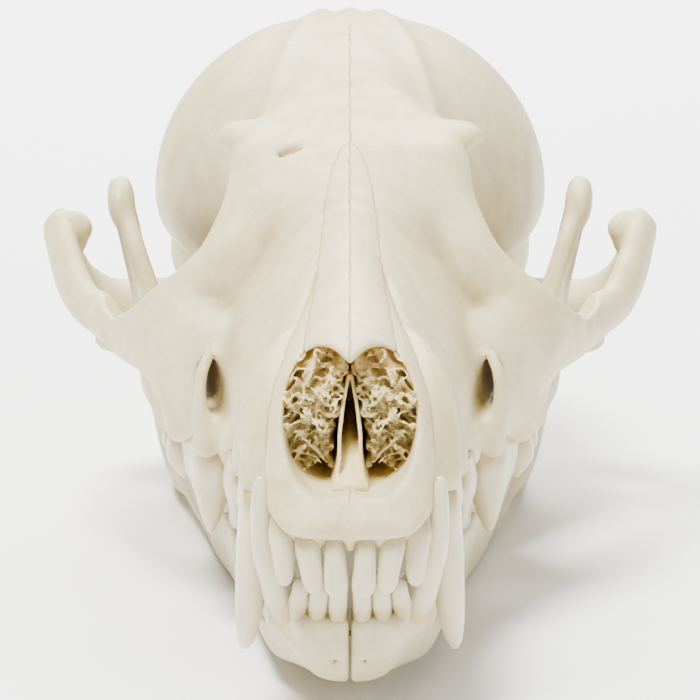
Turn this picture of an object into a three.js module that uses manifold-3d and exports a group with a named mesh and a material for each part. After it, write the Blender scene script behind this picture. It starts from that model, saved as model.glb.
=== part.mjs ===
// The skull of a red fox with its lower jaw closed, cleaned and bleached, at life size.
// Millimetres. x runs to the side, y from the snout to the back of the head, z up.
// Every place below is measured from the front of the upper jaw between the first incisors. At the
// end the whole skull is moved so that it stands on z = 0, centred on the origin.
// The skull lies as it does on a table: on the lower edges and the angular processes of its jaw, so
// that the row of teeth drops by about 4.5 degrees towards the back.

import * as THREE from "three";
import { mergeVertices } from "three/addons/utils/BufferGeometryUtils.js";
import Module from "manifold-3d";

const wasm = await Module();
wasm.setup();

// Driving dimensions
const TABLE = -24.3; // height of the table below the upper incisors' sockets
const SOCKET_GAP = 0.3; // clearance of a tooth in its socket, and of the jaws' halves at the chin
const ROW_DROP = Math.tan(THREE.MathUtils.degToRad(4.5)); // fall of the tooth rows towards the back
const BITE = 10.4; // from the upper row's sockets down to the lower row's, at the front
const LOWER_ROW_DROP = 0.045; // the lower row falls less, for the jaws stand a little open

const BONE = new THREE.MeshStandardMaterial({ color: 0xe9e3cf, roughness: 0.6, metalness: 0 });
const ENAMEL = new THREE.MeshStandardMaterial({ color: 0xf1ede0, roughness: 0.25, metalness: 0 });

// A smooth curve through rows of numbers, the first of each row being the place along the curve.
// It never swings past its own points.
function through(rows) {
  const t = rows.map((row) => row[0]);
  const columns = rows[0].slice(1).map((_, c) => {
    const v = rows.map((row) => row[c + 1]);
    const rise = v.slice(1).map((x, i) => (x - v[i]) / (t[i + 1] - t[i]));
    const slope = v.map((_, i) => {
      if (i === 0) return rise[0];
      if (i === v.length - 1) return rise[i - 1];
      if (rise[i - 1] * rise[i] <= 0) return 0;
      return (2 * rise[i - 1] * rise[i]) / (rise[i - 1] + rise[i]);
    });
    return { v, slope };
  });
  return (at) => {
    const y = Math.min(Math.max(at, t[0]), t[t.length - 1]);
    let i = 0;
    while (i < t.length - 2 && y > t[i + 1]) i++;
    const h = t[i + 1] - t[i];
    const s = (y - t[i]) / h;
    return columns.map(({ v, slope }) => {
      const a = v[i] * (1 + 2 * s) * (1 - s) ** 2 + v[i + 1] * s * s * (3 - 2 * s);
      return a + h * s * (1 - s) * (slope[i] * (1 - s) - slope[i + 1] * s);
    });
  };
}

// Numbers from a to b in equal steps
const steps = (a, b, n) => Array.from({ length: n + 1 }, (_, i) => a + ((b - a) * i) / n);

// A closed skin over rings of points, each ring with the same number of points, flat at both ends.
function loft(rings) {
  const sides = rings[0].length;
  const middle = (ring) =>
    ring.reduce((sum, p) => sum.add(p), new THREE.Vector3()).divideScalar(ring.length);
  const points = [...rings.flat(), middle(rings[0]), middle(rings[rings.length - 1])];
  const faces = [];
  const at = (ring, side) => ring * sides + (side % sides);
  for (let r = 0; r < rings.length - 1; r++)
    for (let s = 0; s < sides; s++) {
      faces.push(at(r, s), at(r, s + 1), at(r + 1, s + 1));
      faces.push(at(r, s), at(r + 1, s + 1), at(r + 1, s));
    }
  const last = rings.length - 1;
  for (let s = 0; s < sides; s++) {
    faces.push(points.length - 2, at(0, s + 1), at(0, s));
    faces.push(points.length - 1, at(last, s), at(last, s + 1));
  }
  return new THREE.BufferGeometry().setFromPoints(points).setIndex(faces);
}

// A geometry as a solid that can be joined and cut, turned the right way out
function solid(geometry) {
  const bare = new THREE.BufferGeometry();
  bare.setAttribute("position", geometry.getAttribute("position"));
  if (geometry.index) bare.setIndex(geometry.index);
  const merged = mergeVertices(bare, 1e-4);
  const triVerts = new Uint32Array(merged.index.array);
  const make = () =>
    new wasm.Manifold(
      new wasm.Mesh({ numProp: 3, vertProperties: merged.attributes.position.array, triVerts }),
    );
  const made = make();
  if (made.volume() > 0) return made;
  for (let i = 0; i < triVerts.length; i += 3)
    [triVerts[i + 1], triVerts[i + 2]] = [triVerts[i + 2], triVerts[i + 1]];
  return make();
}

const joined = (solids) => solids.reduce((a, b) => a.add(b));
const cut = (body, solids) => solids.reduce((a, b) => a.subtract(b), body);
const bothSides = (make) => [make(1), make(-1)];

// Solids from plain measures

// An upright cross-section: its top and bottom, its half width, where it is widest, and how square
// it is above and below that place (1 is a wedge, 2 is round, more is square)
function section(y, [top, bottom, half, widest, above, below], sides) {
  return steps(0, 2 * Math.PI, sides)
    .slice(0, -1)
    .map((turn) => {
      const c = Math.cos(turn);
      const s = Math.sin(turn);
      const power = 2 / (s > 0 ? above : below);
      const reach = s > 0 ? top - widest : widest - bottom;
      const x = half * Math.sign(c) * Math.abs(c) ** power;
      return new THREE.Vector3(x, y, widest + reach * Math.sign(s) * Math.abs(s) ** power);
    });
}

// A body with such sections from front to back
function body(rows, places, sides) {
  const shape = through(rows);
  return solid(loft(places.map((y) => section(y, shape(y), sides))));
}

// An egg on the left side, or its mirror image where the mirror is -1
function egg({ at: [x, y, z], radii }, mirror, around, tall) {
  const ball = new THREE.SphereGeometry(1, around, tall);
  return solid(ball.scale(...radii).translate(x * mirror, y, z));
}

// A bar with an oval section that follows a curve. Each row is a place and the section's half
// height and half thickness there. The mirror is 1 on the left side and -1 on the right.
function bar(rows, mirror, count, sides = 10) {
  const curve = new THREE.CatmullRomCurve3(
    rows.map(([x, y, z]) => new THREE.Vector3(x * mirror, y, z)),
  );
  const size = through(rows.map((row, i) => [i / (rows.length - 1), row[3], row[4]]));
  const rings = steps(0, 1, count).map((t) => {
    const along = curve.getTangent(t);
    const across = new THREE.Vector3(0, 0, 1).cross(along).normalize();
    const up = along.clone().cross(across);
    const [tall, thick] = size(t);
    return steps(0, 2 * Math.PI, sides)
      .slice(0, -1)
      .map((turn) =>
        curve
          .getPoint(t)
          .addScaledVector(across, thick * Math.cos(turn))
          .addScaledVector(up, tall * Math.sin(turn)),
      );
  });
  return solid(loft(rings));
}

// Teeth. A row in a cusp is a height above the gum line, how far the section stands forward of and
// outside the tooth's own place, and its half length along the row and half width across it. A
// tooth is one cusp or several grown together. "up" is -1 for an upper tooth, whose crown points down.
const socketHeight = (y, up) => (up < 0 ? -ROW_DROP * y : -BITE - LOWER_ROW_DROP * y);

function tooth({ place: [x, y, lift = 0], turn = 0, sides = 6, cusps }, up, mirror, grow = 0) {
  const yaw = THREE.MathUtils.degToRad(turn);
  return joined(
    cusps.map((rows) => {
      const rings = rows.map(([height, forward, outward, long, wide], i) => {
        const ends = i === 0 ? -grow : i === rows.length - 1 ? grow : 0;
        const z = socketHeight(y, up) + lift + up * (height + ends);
        return steps(0, 2 * Math.PI, sides)
          .slice(0, -1)
          .map((t) => {
            const along = forward + (long + grow) * Math.cos(t);
            const across = outward + (wide + grow) * Math.sin(t);
            const px = x + across * Math.cos(yaw) - along * Math.sin(yaw);
            const py = y - across * Math.sin(yaw) - along * Math.cos(yaw);
            return new THREE.Vector3(px * mirror, py, z);
          });
      });
      return solid(loft(rings));
    }),
  );
}

// The small blade of a premolar: one pointed cusp on a long base
const blade = (long, wide, high, root = 2.4) => [
  [-root, 0, 0, long * 0.4, wide * 0.36],
  [0, 0, 0, long * 0.47, wide * 0.46],
  [high * 0.22, 0, 0, long * 0.5, wide * 0.5],
  [high * 0.62, 0.02 * long, 0, long * 0.23, wide * 0.34],
  [high * 0.92, 0.03 * long, 0, long * 0.08, wide * 0.16],
  [high, 0.03 * long, 0, long * 0.03, wide * 0.07],
];

// A low rounded cusp, standing away from the middle of its tooth
const knob = (forward, outward, long, wide, high, root = 2) => [
  [-root, forward, outward, long * 0.8, wide * 0.8],
  [high * 0.4, forward, outward, long, wide],
  [high, forward, outward, long * 0.3, wide * 0.3],
];

// A nipping tooth: narrow at the gum, widest near its edge
const nipper = (wide, thick, high, rake, outward = 0) => [
  [-3, -1.4, -outward * 0.4, thick * 0.42, wide * 0.34],
  [0, 0, 0, thick * 0.5, wide * 0.38],
  [high * 0.4, rake * 0.5, outward * 0.5, thick * 0.5, wide * 0.46],
  [high * 0.78, rake, outward, thick * 0.34, wide * 0.5],
  [high, rake * 0.95, outward * 1.1, thick * 0.14, wide * 0.3],
];

const UPPER_TEETH = {
  incisor_1: { place: [1.75, 2.6, 0.2], curved: true, cusps: [nipper(2.8, 2.9, 6.5, 1.9)] },
  incisor_2: { place: [4.75, 3.2, 0.6], turn: 10, curved: true, cusps: [nipper(2.9, 3.1, 6.6, 2.0)] },
  incisor_3: { place: [7.65, 4.6, 1.5], turn: 18, curved: true, cusps: [nipper(2.7, 3.0, 7.1, 1.5, 0.2)] },
  canine: {
    place: [10.3, 13.6, 2.2],
    turn: 8,
    sides: 7,
    curved: true,
    cusps: [
      [
        [-4.6, -2.6, -1.8, 2.0, 1.2],
        [0, 0, 0, 3.1, 1.9],
        [4, 0.6, 0.4, 2.9, 1.95],
        [9, 0.8, 0.8, 2.4, 1.8],
        [14, 0.1, 1.1, 1.7, 1.45],
        [17, -0.8, 1.3, 0.95, 0.9],
        [18.1, -1.2, 1.35, 0.35, 0.38],
      ],
    ],
  },
  premolar_1: { place: [10.6, 19.6, 0.6], turn: 4, cusps: [blade(4.2, 2.4, 3.8)] },
  premolar_2: { place: [11.4, 26.6, 0.4], turn: 5, cusps: [blade(8.2, 3.0, 5.6)] },
  premolar_3: { place: [13.1, 36.4, 0.2], turn: 8, cusps: [blade(9.0, 3.2, 6.2)] },
  premolar_4: {
    place: [16.4, 48.0, 0],
    turn: 20,
    cusps: [
      [
        [-2.4, 1.4, 0.5, 4.2, 1.7],
        [0, 1.4, 0.6, 4.7, 2.2],
        [2, 1.6, 0.6, 4.4, 2.2],
        [6, 1.7, 0.6, 2.1, 1.5],
        [8.8, 1.3, 0.6, 0.7, 0.6],
        [9.4, 1.2, 0.6, 0.25, 0.25],
      ],
      [
        [-2.2, -3.6, 0.3, 2.7, 1.5],
        [0.2, -3.6, 0.3, 3.2, 1.9],
        [3, -3.7, 0.3, 3.0, 1.5],
        [5.6, -3.6, 0.3, 2.3, 0.5],
      ],
      knob(4.2, -2.4, 1.6, 1.7, 2.8),
    ],
  },
  molar_1: {
    place: [18.0, 59.6, 0],
    turn: 14,
    cusps: [
      knob(2.2, 2.3, 2.4, 2.4, 4.6),
      knob(-2.2, 2.1, 2.3, 2.2, 3.6),
      knob(0, -2.0, 3.2, 3.4, 2.4),
    ],
  },
  molar_2: {
    place: [17.6, 66.6, 0.4],
    turn: 12,
    cusps: [
      knob(1.0, 1.7, 1.7, 1.8, 2.8),
      knob(-0.9, 1.2, 1.5, 1.7, 2.2),
      knob(0, -1.6, 2.0, 2.4, 1.6),
    ],
  },
};

const LOWER_TEETH = {
  incisor_1: { place: [1.35, 4.9, 1.0], curved: true, cusps: [nipper(2.0, 2.4, 3.9, 1.5)] },
  incisor_2: { place: [3.6, 5.4, 1.0], turn: 10, curved: true, cusps: [nipper(2.2, 2.5, 4.2, 1.5)] },
  incisor_3: { place: [5.75, 6.0, 1.2], turn: 14, curved: true, cusps: [nipper(2.1, 2.4, 4.0, 1.4)] },
  canine: {
    place: [7.7, 9.7, 0.1],
    turn: 6,
    sides: 7,
    curved: true,
    cusps: [
      [
        [-4.5, -2.4, -0.8, 2.5, 1.6],
        [0, 0, 0, 2.9, 2.0],
        [4, 1.2, 1.0, 2.3, 1.75],
        [8, 2.3, 1.9, 1.8, 1.5],
        [12, 3.0, 2.3, 1.35, 1.25],
        [15, 3.2, 2.5, 0.9, 0.85],
        [16.4, 3.2, 2.55, 0.35, 0.38],
      ],
    ],
  },
  premolar_1: { place: [8.4, 17.0, 0], turn: 4, cusps: [blade(3.2, 2.1, 2.8, 2)] },
  premolar_2: { place: [9.0, 22.9, 0], turn: 6, cusps: [blade(7.0, 2.6, 4.6)] },
  premolar_3: { place: [9.8, 31.4, 0], turn: 6, cusps: [blade(8.0, 2.8, 5.2)] },
  premolar_4: { place: [10.8, 40.4, 0], turn: 8, cusps: [blade(8.4, 3.2, 5.8)] },
  molar_1: {
    place: [12.5, 52.0, -0.2],
    turn: 10,
    cusps: [
      [
        [-2.6, 1.6, 0, 4.6, 1.6],
        [0, 1.6, 0, 5.2, 2.1],
        [2.2, 1.7, 0, 5.0, 2.1],
        [5.6, 1.4, 0, 2.8, 1.4],
        [8.4, 0.6, 0, 0.8, 0.6],
      ],
      knob(-4.8, 0, 2.4, 2.2, 3.2),
    ],
  },
  molar_2: { place: [14.2, 63.6, 0.1], turn: 12, cusps: [knob(0, 0, 3.2, 2.3, 2.6)] },
  molar_3: { place: [15.3, 69.2, 0.3], turn: 12, cusps: [knob(0, 0, 1.5, 1.4, 1.4, 1.6)] },
};

// A socket is a plain peg hole as wide as the tooth, except for the curved teeth in front
function socket(shape, up, mirror) {
  const peg = (rows) => {
    const [root, gum] = rows;
    const wide = [3, 4].map((c) => Math.max(...rows.map((row) => row[c])));
    return [
      [root[0], root[1], root[2], root[3], root[4]],
      [0, gum[1], gum[2], ...wide],
      [rows[rows.length - 1][0], gum[1], gum[2], ...wide],
    ];
  };
  const cusps = shape.curved ? shape.cusps : shape.cusps.map(peg);
  return tooth({ ...shape, cusps }, up, mirror, SOCKET_GAP);
}
const socketSolids = (teeth, up, mirror) =>
  Object.values(teeth).map((shape) => socket(shape, up, mirror));
const toothSolids = (teeth, up, mirror) =>
  Object.entries(teeth).map(([name, shape]) => [name, tooth(shape, up, mirror)]);

// Upper skull

// The snout: top, bottom, half width, height of the widest place, squareness above and below
const SNOUT = [
  [0.6, 1.4, -1.6, 6.4, -0.4, 2.2, 2.6],
  [2, 3.8, -1.9, 7.9, 0.5, 2.1, 2.6],
  [4, 8.6, -2.0, 8.5, 2.2, 2.0, 2.6],
  [6.5, 14.8, -1.9, 8.8, 4.4, 2.0, 2.6],
  [9, 18.6, -1.7, 9.3, 5.6, 2.0, 2.8],
  [13, 19.8, -1.6, 10.6, 6.0, 1.9, 3],
  [20, 20.9, -1.7, 11.0, 5.0, 1.8, 3],
  [30, 22.2, -2.4, 12.2, 3.2, 1.65, 3],
  [38, 23.4, -3.3, 14.2, 2.0, 1.5, 3.2],
  [45, 24.8, -4.2, 17.2, 1.4, 1.4, 3.4],
  [51, 26.4, -4.7, 19.8, 1.8, 1.4, 3.4],
  [56, 28.2, -5.1, 21.8, 2.0, 1.4, 3.4],
  [61, 29.6, -5.3, 22.2, 1.0, 1.4, 3.2],
  [66, 29.6, -5.5, 20.4, -0.5, 1.4, 3],
  [70.5, 28, -5.2, 14, 0, 1.5, 2.6],
];

// The forehead and the braincase, measured in the same way
const BRAINCASE = [
  [50, 24, 6, 6, 17, 2, 2],
  [58, 28.7, 10, 11.5, 24, 2.6, 2],
  [64, 31.2, 12, 13.6, 27.4, 2.8, 1.6],
  [70, 32.6, 10, 14.2, 28.4, 2.7, 1.4],
  [75, 34.2, 8, 12.4, 27, 2.3, 1.6],
  [80, 35.6, 6, 12.6, 23, 2, 1.8],
  [87, 37.1, 4, 16.6, 19, 2, 2],
  [94, 38.0, 2.6, 20.9, 16.6, 2, 2.1],
  [102, 38.2, 1.4, 24.2, 15, 2, 2.2],
  [110, 37.5, 0.4, 25.3, 14, 2, 2.3],
  [118, 35.6, -0.6, 24.4, 13, 2, 2.4],
  [126, 32.4, -1.4, 21.6, 11.6, 2.1, 2.4],
  [133, 28.4, -2.2, 17.8, 9.8, 2.2, 2.3],
  [138.5, 23.0, -2.8, 13.2, 7.6, 2.1, 2.2],
];
const BRAINCASE_WALL = 2.0;

// Walls between the eyes and above the gullet
const MIDDLE_WALL = [
  [52, 26, -2, 9, 8, 2.4, 3],
  [66, 29, -2.6, 9.2, 8, 2.4, 2.6],
  [76, 30, 1.2, 8.6, 9, 2.2, 2.2],
  [88, 28, 2.6, 9.4, 9, 2, 2],
  [100, 24, 1.8, 10, 8, 2, 2],
];

// The cheekbone's arch, from the face round to the ear: place, half height, half thickness
const ARCH = [
  [16.5, 50.5, 5.0, 8.2, 4.6],
  [22.2, 57.5, 7.6, 5.6, 3.4],
  [27.4, 66, 6.9, 3.9, 2.4],
  [31.9, 75, 6.9, 2.7, 2.0],
  [34.9, 82, 9.6, 3.5, 1.9],
  [36.3, 88.5, 12.5, 3.8, 1.9],
  [36.5, 95, 9.6, 3.4, 1.9],
  [34.8, 100.6, 3.9, 2.8, 2.1],
  [30.0, 104.3, 0.6, 2.6, 3.6],
  [22, 105.8, 0.0, 3.0, 4.6],
  [14, 106.5, 1.5, 3.4, 4.6],
];

// The front rim of the eye's socket, from the forehead down to the cheekbone
const EYE_RIM = [
  [10.4, 63.5, 27.4, 2.6, 3.2],
  [12.4, 58.6, 22.6, 2.8, 3.4],
  [15.4, 56.0, 17.6, 3.0, 3.2],
  [20.6, 56.2, 13.0, 3.0, 2.6],
  [25.2, 61.5, 9.4, 2.6, 2.2],
];

const BROW_SPUR = [
  [9, 67.5, 28.8, 2.6, 4.8],
  [12.4, 68.8, 30.0, 2.0, 3.8],
  [14.6, 70, 30.6, 1.3, 2.2],
  [16.0, 70.8, 30.5, 0.5, 0.8],
];

const GULLET_WING = [
  [8.2, 68, -1.0, 4, 1.6],
  [8.6, 80, 0.4, 5, 1.4],
  [8.2, 90, -3.4, 1.6, 0.9],
];

const CREST = [
  [0, 96, 36.6, 1.2, 0.9],
  [0, 108, 36.8, 1.2, 0.9],
  [0, 120, 34.6, 1.5, 1.0],
  [0, 132, 29.9, 2.0, 1.1],
  [0, 139.6, 26.0, 2.2, 1.3],
  [0, 142.4, 24.0, 1.2, 1.0],
];

// Half of the ridge where the neck's muscles hold on, from the top of the head down to the ear
const NECK_RIDGE = [
  [-1, 140.9, 25.2, 1.6, 1.6],
  [5, 139.2, 25.0, 1.7, 1.5],
  [11.2, 135.4, 21.6, 1.7, 1.6],
  [16.4, 130, 15.2, 2.0, 1.8],
  [19.4, 125, 7.4, 2.4, 2.2],
  [20.0, 122, 1.4, 2.2, 2.2],
];

const EAR_SPUR = [
  [18, 125, 3, 2.6, 2.4],
  [17, 127.6, -3.4, 1.9, 1.7],
  [15.8, 128.8, -8.2, 0.8, 0.8],
];

// The bulges over the roots of the upper canine and of the third incisor
const CANINE_BULGE = [
  [9.6, 13.8, 3.6, 2.5, 2.8],
  [9.2, 16.0, 8.6, 2.6, 2.8],
  [8.5, 19.4, 12.4, 2.4, 2.6],
  [7.2, 24, 15.0, 1.6, 1.6],
];

const INCISOR_BULGE = [
  [7.7, 5.4, 2.6, 1.9, 1.9],
  [7.4, 7.0, 6.4, 1.9, 1.9],
  [7.0, 9.4, 10.0, 1.3, 1.3],
];

// Lumps and hollows: the centre of each on the left side, and its radii
const EAR_DRUM = { at: [12.2, 116.5, -2.2], radii: [6.6, 9.4, 6.0] };
const NECK_KNUCKLE = { at: [8.2, 138.6, -1.2], radii: [4.2, 4.4, 4.4] };
const HINGE_STOP = { at: [24.4, 108.6, -2.6], radii: [4.4, 1.8, 3.6] };
const EAR_ROOT = { at: [19.6, 121, 3.6], radii: [4.2, 6.4, 6.2] };
const SKULL_FLOOR = { at: [0, 128, -1.6], radii: [8.4, 13, 2.8] };
const EYE_SOCKET = { at: [20.6, 68.6, 16.8], radii: [11.6, 12.6, 12.6] };
const BELOW_EYE = { at: [19.5, 77, 3.5], radii: [8.4, 11, 9.5] };
const NOSE_TOP = { at: [2.6, 9, 11.4], radii: [4.7, 16, 7.3] };
const NOSE_BOTTOM = { at: [2.3, 7, 8.6], radii: [4.2, 15, 4.5] };
const GULLET = { at: [0, 86, 0.6], radii: [6.6, 18, 4.4] };
const PALATE = { at: [0, 36, -4.6], radii: [8.6, 36, 3.4] };

// Holes: the nerve's way through the face, the hinge's trough and the way into the braincase
const NERVE_HOLE = [
  [14.6, 34, 5.2, 2.9, 1.2],
  [16.0, 44, 5.4, 2.9, 1.3],
  [19.5, 58, 7.6, 2.9, 1.8],
];
const HINGE_TROUGH = [
  [19, 103.6, -4.0, 3.1, 3.1],
  [34, 103.2, -4.2, 3.1, 3.1],
];
const NECK_HOLE = [
  [0, 130, 6.4, 5.4, 6.4],
  [0, 138, 5.4, 5.4, 6.6],
  [0, 146, 4.6, 5.4, 7],
];

function upperSkull() {
  const snout = body(SNOUT, [0.6, 1.5, 3, 5, 8, ...steps(12.5, 70.5, 7)], 14);
  const braincase = body(BRAINCASE, [...steps(50, 122, 8), 130, 138.5], 16);
  const walls = body(MIDDLE_WALL, steps(52, 100, 4), 8);
  const grown = bothSides((side) =>
    joined([
      bar(ARCH, side, 12, 6),
      bar(BROW_SPUR, side, 4, 6),
      bar(NECK_RIDGE, side, 6, 5),
      bar(EAR_SPUR, side, 3, 6),
      bar(EYE_RIM, side, 4, 6),
      bar(CANINE_BULGE, side, 4, 6),
      bar(INCISOR_BULGE, side, 3, 6),
      egg(EAR_DRUM, side, 9, 5),
      egg(NECK_KNUCKLE, side, 8, 5),
      egg(HINGE_STOP, side, 8, 5),
      egg(EAR_ROOT, side, 7, 4),
      bar(GULLET_WING, side, 3, 6),
    ]),
  );
  const floor = egg(SKULL_FLOOR, 1, 8, 4);
  const whole = joined([snout, braincase, walls, ...grown, bar(CREST, 1, 6, 5), floor]);

  const eyes = bothSides((side) =>
    joined([egg(EYE_SOCKET, side, 10, 7), egg(BELOW_EYE, side, 8, 6)]),
  );
  const noseHoles = bothSides((side) =>
    joined([egg(NOSE_TOP, side, 10, 6), egg(NOSE_BOTTOM, side, 8, 4)]),
  );
  const nerveHoles = bothSides((side) => bar(NERVE_HOLE, side, 2, 6));
  const brain = body(
    BRAINCASE.map(([y, top, bottom, half, widest, above, below]) => [
      y,
      top - BRAINCASE_WALL,
      Math.max(bottom, 2) + BRAINCASE_WALL,
      half - BRAINCASE_WALL,
      widest,
      above,
      below,
    ]),
    [...steps(84, 126, 4), 133, 136],
    10,
  );
  const hinges = bothSides((side) => bar(HINGE_TROUGH, side, 1, 8));
  const sockets = bothSides((side) => socketSolids(UPPER_TEETH, -1, side)).flat();
  // The lower canine passes the snout in a notch in front of the upper one
  const notches = bothSides((side) => tooth(LOWER_TEETH.canine, 1, side, SOCKET_GAP));
  const bone = cut(whole, [
    ...eyes,
    ...notches,
    ...noseHoles,
    ...nerveHoles,
    brain,
    bar(NECK_HOLE, 1, 1, 10),
    egg(GULLET, 1, 8, 5),
    egg(PALATE, 1, 8, 5),
    ...hinges,
    ...sockets,
  ]);
  return joined([bone, ...insideTheNose()]);
}

// The upright plate in the middle of the nose, and beside it the scrolls that fill each half
const NOSE_PLATE = { size: [1.1, 16, 9.5], at: [0, 18, 7.8] };
const UPPER_SCROLL = [
  [3.6, 11, 13.2, 2.4, 1.6],
  [3.6, 27, 13.6, 2.6, 1.8],
];
const LOWER_SCROLL = [
  [3.9, 10.5, 8.6, 2.0, 1.5],
  [4.2, 25, 8.6, 2.4, 1.8],
];

const block = ({ size, at }) => solid(new THREE.BoxGeometry(...size).translate(...at));

function insideTheNose() {
  const scrolls = bothSides((side) =>
    joined([bar(UPPER_SCROLL, side, 1, 7), bar(LOWER_SCROLL, side, 1, 7)]),
  );
  return [block(NOSE_PLATE), ...scrolls];
}

// Lower jaw. Each row: place, top edge, bottom edge, middle of the top and of the bottom across the
// skull, half thickness
const JAW = [
  [4.6, -10.8, -14.6, 3.6, 1.2, 3.0],
  [6.2, -10.2, -16.9, 4.3, 0.3, 3.7],
  [9, -10.3, -19.0, 5.2, -0.1, 4.1],
  [13, -10.9, -20.0, 5.8, 0.6, 4.2],
  [18, -11.3, -20.6, 6.6, 2.8, 4.0],
  [24, -11.6, -21.3, 8.0, 6.2, 3.1],
  [32, -12.0, -22.1, 9.4, 7.4, 3.0],
  [42, -12.5, -23.2, 10.9, 8.6, 3.0],
  [52, -12.9, -24.1, 12.5, 9.8, 3.0],
  [60, -13.3, -24.6, 14.0, 11.2, 3.0],
  [67.5, -13.6, -24.6, 15.8, 13.2, 2.8],
  [71.5, -11.0, -24.4, 17.4, 14.4, 2.5],
  [75, -4.4, -24.0, 20.0, 15.6, 2.1],
  [79, 5.0, -23.4, 23.6, 17.0, 1.7],
  [83, 12.8, -22.7, 26.6, 18.4, 1.5],
  [87, 17.6, -22.0, 28.4, 19.6, 1.4],
  [90.5, 19.4, -21.5, 29.3, 20.6, 1.4],
  [93.5, 18.4, -21.2, 29.0, 21.4, 1.4],
  [95.5, 13.0, -21.0, 28.2, 21.8, 1.4],
  [97, 3.6, -20.8, 26.8, 22.2, 1.5],
  [99, -3.4, -20.6, 25.6, 22.4, 1.7],
  [102.5, -5.4, -19.6, 25.2, 22.4, 1.7],
];

const JAW_KNUCKLE = [
  [20.6, 103.9, -4.3, 1.9, 1.9],
  [23.5, 103.7, -4.3, 2.5, 2.5],
  [28, 103.4, -4.3, 2.5, 2.5],
  [31.4, 103.2, -4.3, 1.7, 1.8],
];

const JAW_ANGLE = [
  [20.8, 94, -19.8, 3.2, 1.6],
  [21.8, 100, -20.8, 2.9, 1.6],
  [22.0, 105, -22.4, 2.2, 1.4],
  [21.8, 108.6, -23.3, 1.3, 1.1],
];

// The neck under the knuckle, and the hollow that a chewing muscle lies in
const JAW_NECK = [
  [25.2, 99, -8, 4.4, 1.7],
  [25.6, 103.2, -6.2, 3.0, 2.0],
];
const MUSCLE_HOLLOW = { at: [27.6, 84, -7], radii: [3.4, 8, 9] };

// A block under the table, which flattens the jaw where it rests, and one over the other half's
// side of the chin
const UNDER_TABLE = { size: [90, 200, 10], at: [0, 60, TABLE - 5] };
const OTHER_HALF = 20;

function lowerJaw(side) {
  const shape = through(JAW);
  const places = [4.6, 5.6, 7.6, 11, 18, ...steps(26, 68, 4), ...steps(71.5, 102.5, 11)];
  const rings = places.map((y) => {
    const [top, bottom, upper, lower, half] = shape(y);
    return steps(0, 2 * Math.PI, 8)
      .slice(0, -1)
      .map((turn) => {
        const square = (v) => Math.sign(v) * Math.abs(v) ** 0.45;
        const share = (square(Math.sin(turn)) + 1) / 2;
        const x = lower + (upper - lower) * share + half * square(Math.cos(turn));
        return new THREE.Vector3(x * side, y, bottom + (top - bottom) * share);
      });
  });
  const whole = joined([
    solid(loft(rings)),
    bar(JAW_KNUCKLE, side, 3, 8),
    bar(JAW_NECK, side, 1, 8),
    bar(JAW_ANGLE, side, 3, 7),
  ]);
  const otherHalf = block({
    size: [OTHER_HALF, 60, 60],
    at: [(side * (SOCKET_GAP - OTHER_HALF)) / 2, 20, -12],
  });
  const sockets = socketSolids(LOWER_TEETH, 1, side);
  return cut(whole, [block(UNDER_TABLE), otherHalf, egg(MUSCLE_HOLLOW, side, 8, 5), ...sockets]);
}

// The finished pieces

function mesh(name, shape, material) {
  const made = shape.getMesh();
  const geometry = new THREE.BufferGeometry();
  geometry.setAttribute("position", new THREE.BufferAttribute(made.vertProperties, 3));
  geometry.setIndex(new THREE.BufferAttribute(made.triVerts, 1));
  const flat = geometry.toNonIndexed();
  flat.computeVertexNormals();
  const piece = new THREE.Mesh(flat, material);
  piece.name = name;
  return piece;
}

const skull = new THREE.Group();
skull.add(mesh("cranium", upperSkull(), BONE));
for (const [sideName, side] of [["right", -1], ["left", 1]]) {
  skull.add(mesh(`mandible_${sideName}`, lowerJaw(side), BONE));
  for (const [name, shape] of toothSolids(UPPER_TEETH, -1, side))
    skull.add(mesh(`upper_${name}_${sideName}`, shape, ENAMEL));
  for (const [name, shape] of toothSolids(LOWER_TEETH, 1, side))
    skull.add(mesh(`lower_${name}_${sideName}`, shape, ENAMEL));
}

// Stand it on z = 0, centred on the origin from above
const size = new THREE.Box3().setFromObject(skull);
skull.position.set(0, -(size.min.y + size.max.y) / 2, -size.min.z);

export default skull;
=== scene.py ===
import bpy
import numpy as np
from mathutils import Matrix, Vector


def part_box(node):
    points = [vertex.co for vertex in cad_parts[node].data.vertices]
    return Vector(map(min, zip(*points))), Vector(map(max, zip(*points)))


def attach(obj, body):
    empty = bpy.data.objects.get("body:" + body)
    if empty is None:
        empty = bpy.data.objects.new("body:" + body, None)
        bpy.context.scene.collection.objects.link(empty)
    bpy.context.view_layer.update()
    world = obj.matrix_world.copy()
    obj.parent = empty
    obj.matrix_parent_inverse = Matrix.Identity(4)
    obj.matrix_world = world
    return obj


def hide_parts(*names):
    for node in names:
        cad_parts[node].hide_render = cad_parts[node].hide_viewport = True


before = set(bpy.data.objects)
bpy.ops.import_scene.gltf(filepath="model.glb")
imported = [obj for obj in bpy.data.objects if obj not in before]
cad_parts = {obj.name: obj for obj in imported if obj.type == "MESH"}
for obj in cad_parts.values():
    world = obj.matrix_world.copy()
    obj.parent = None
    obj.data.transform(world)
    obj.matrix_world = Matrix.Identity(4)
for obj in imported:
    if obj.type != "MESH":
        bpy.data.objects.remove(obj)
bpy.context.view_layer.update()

# Camera and light
# The skull is seen from in front and a little above, from far off with a long lens. Lengths are in
# millimetres in the skull's own frame: x to the side, y from the snout to the back of the head, z up,
# measured from the front of the upper jaw between the first incisors.
MM = 0.001
SNOUT_TIP = 0.6  # where the bone of the snout begins, along y
TABLE = -24.3  # height of the table that the lower jaw rests on
cranium_low, cranium_high = (np.array(corner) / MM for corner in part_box("cranium"))
TO_PART = np.array([0.0, cranium_low[1] - SNOUT_TIP, -TABLE])  # from the skull's frame to the part's

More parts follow.
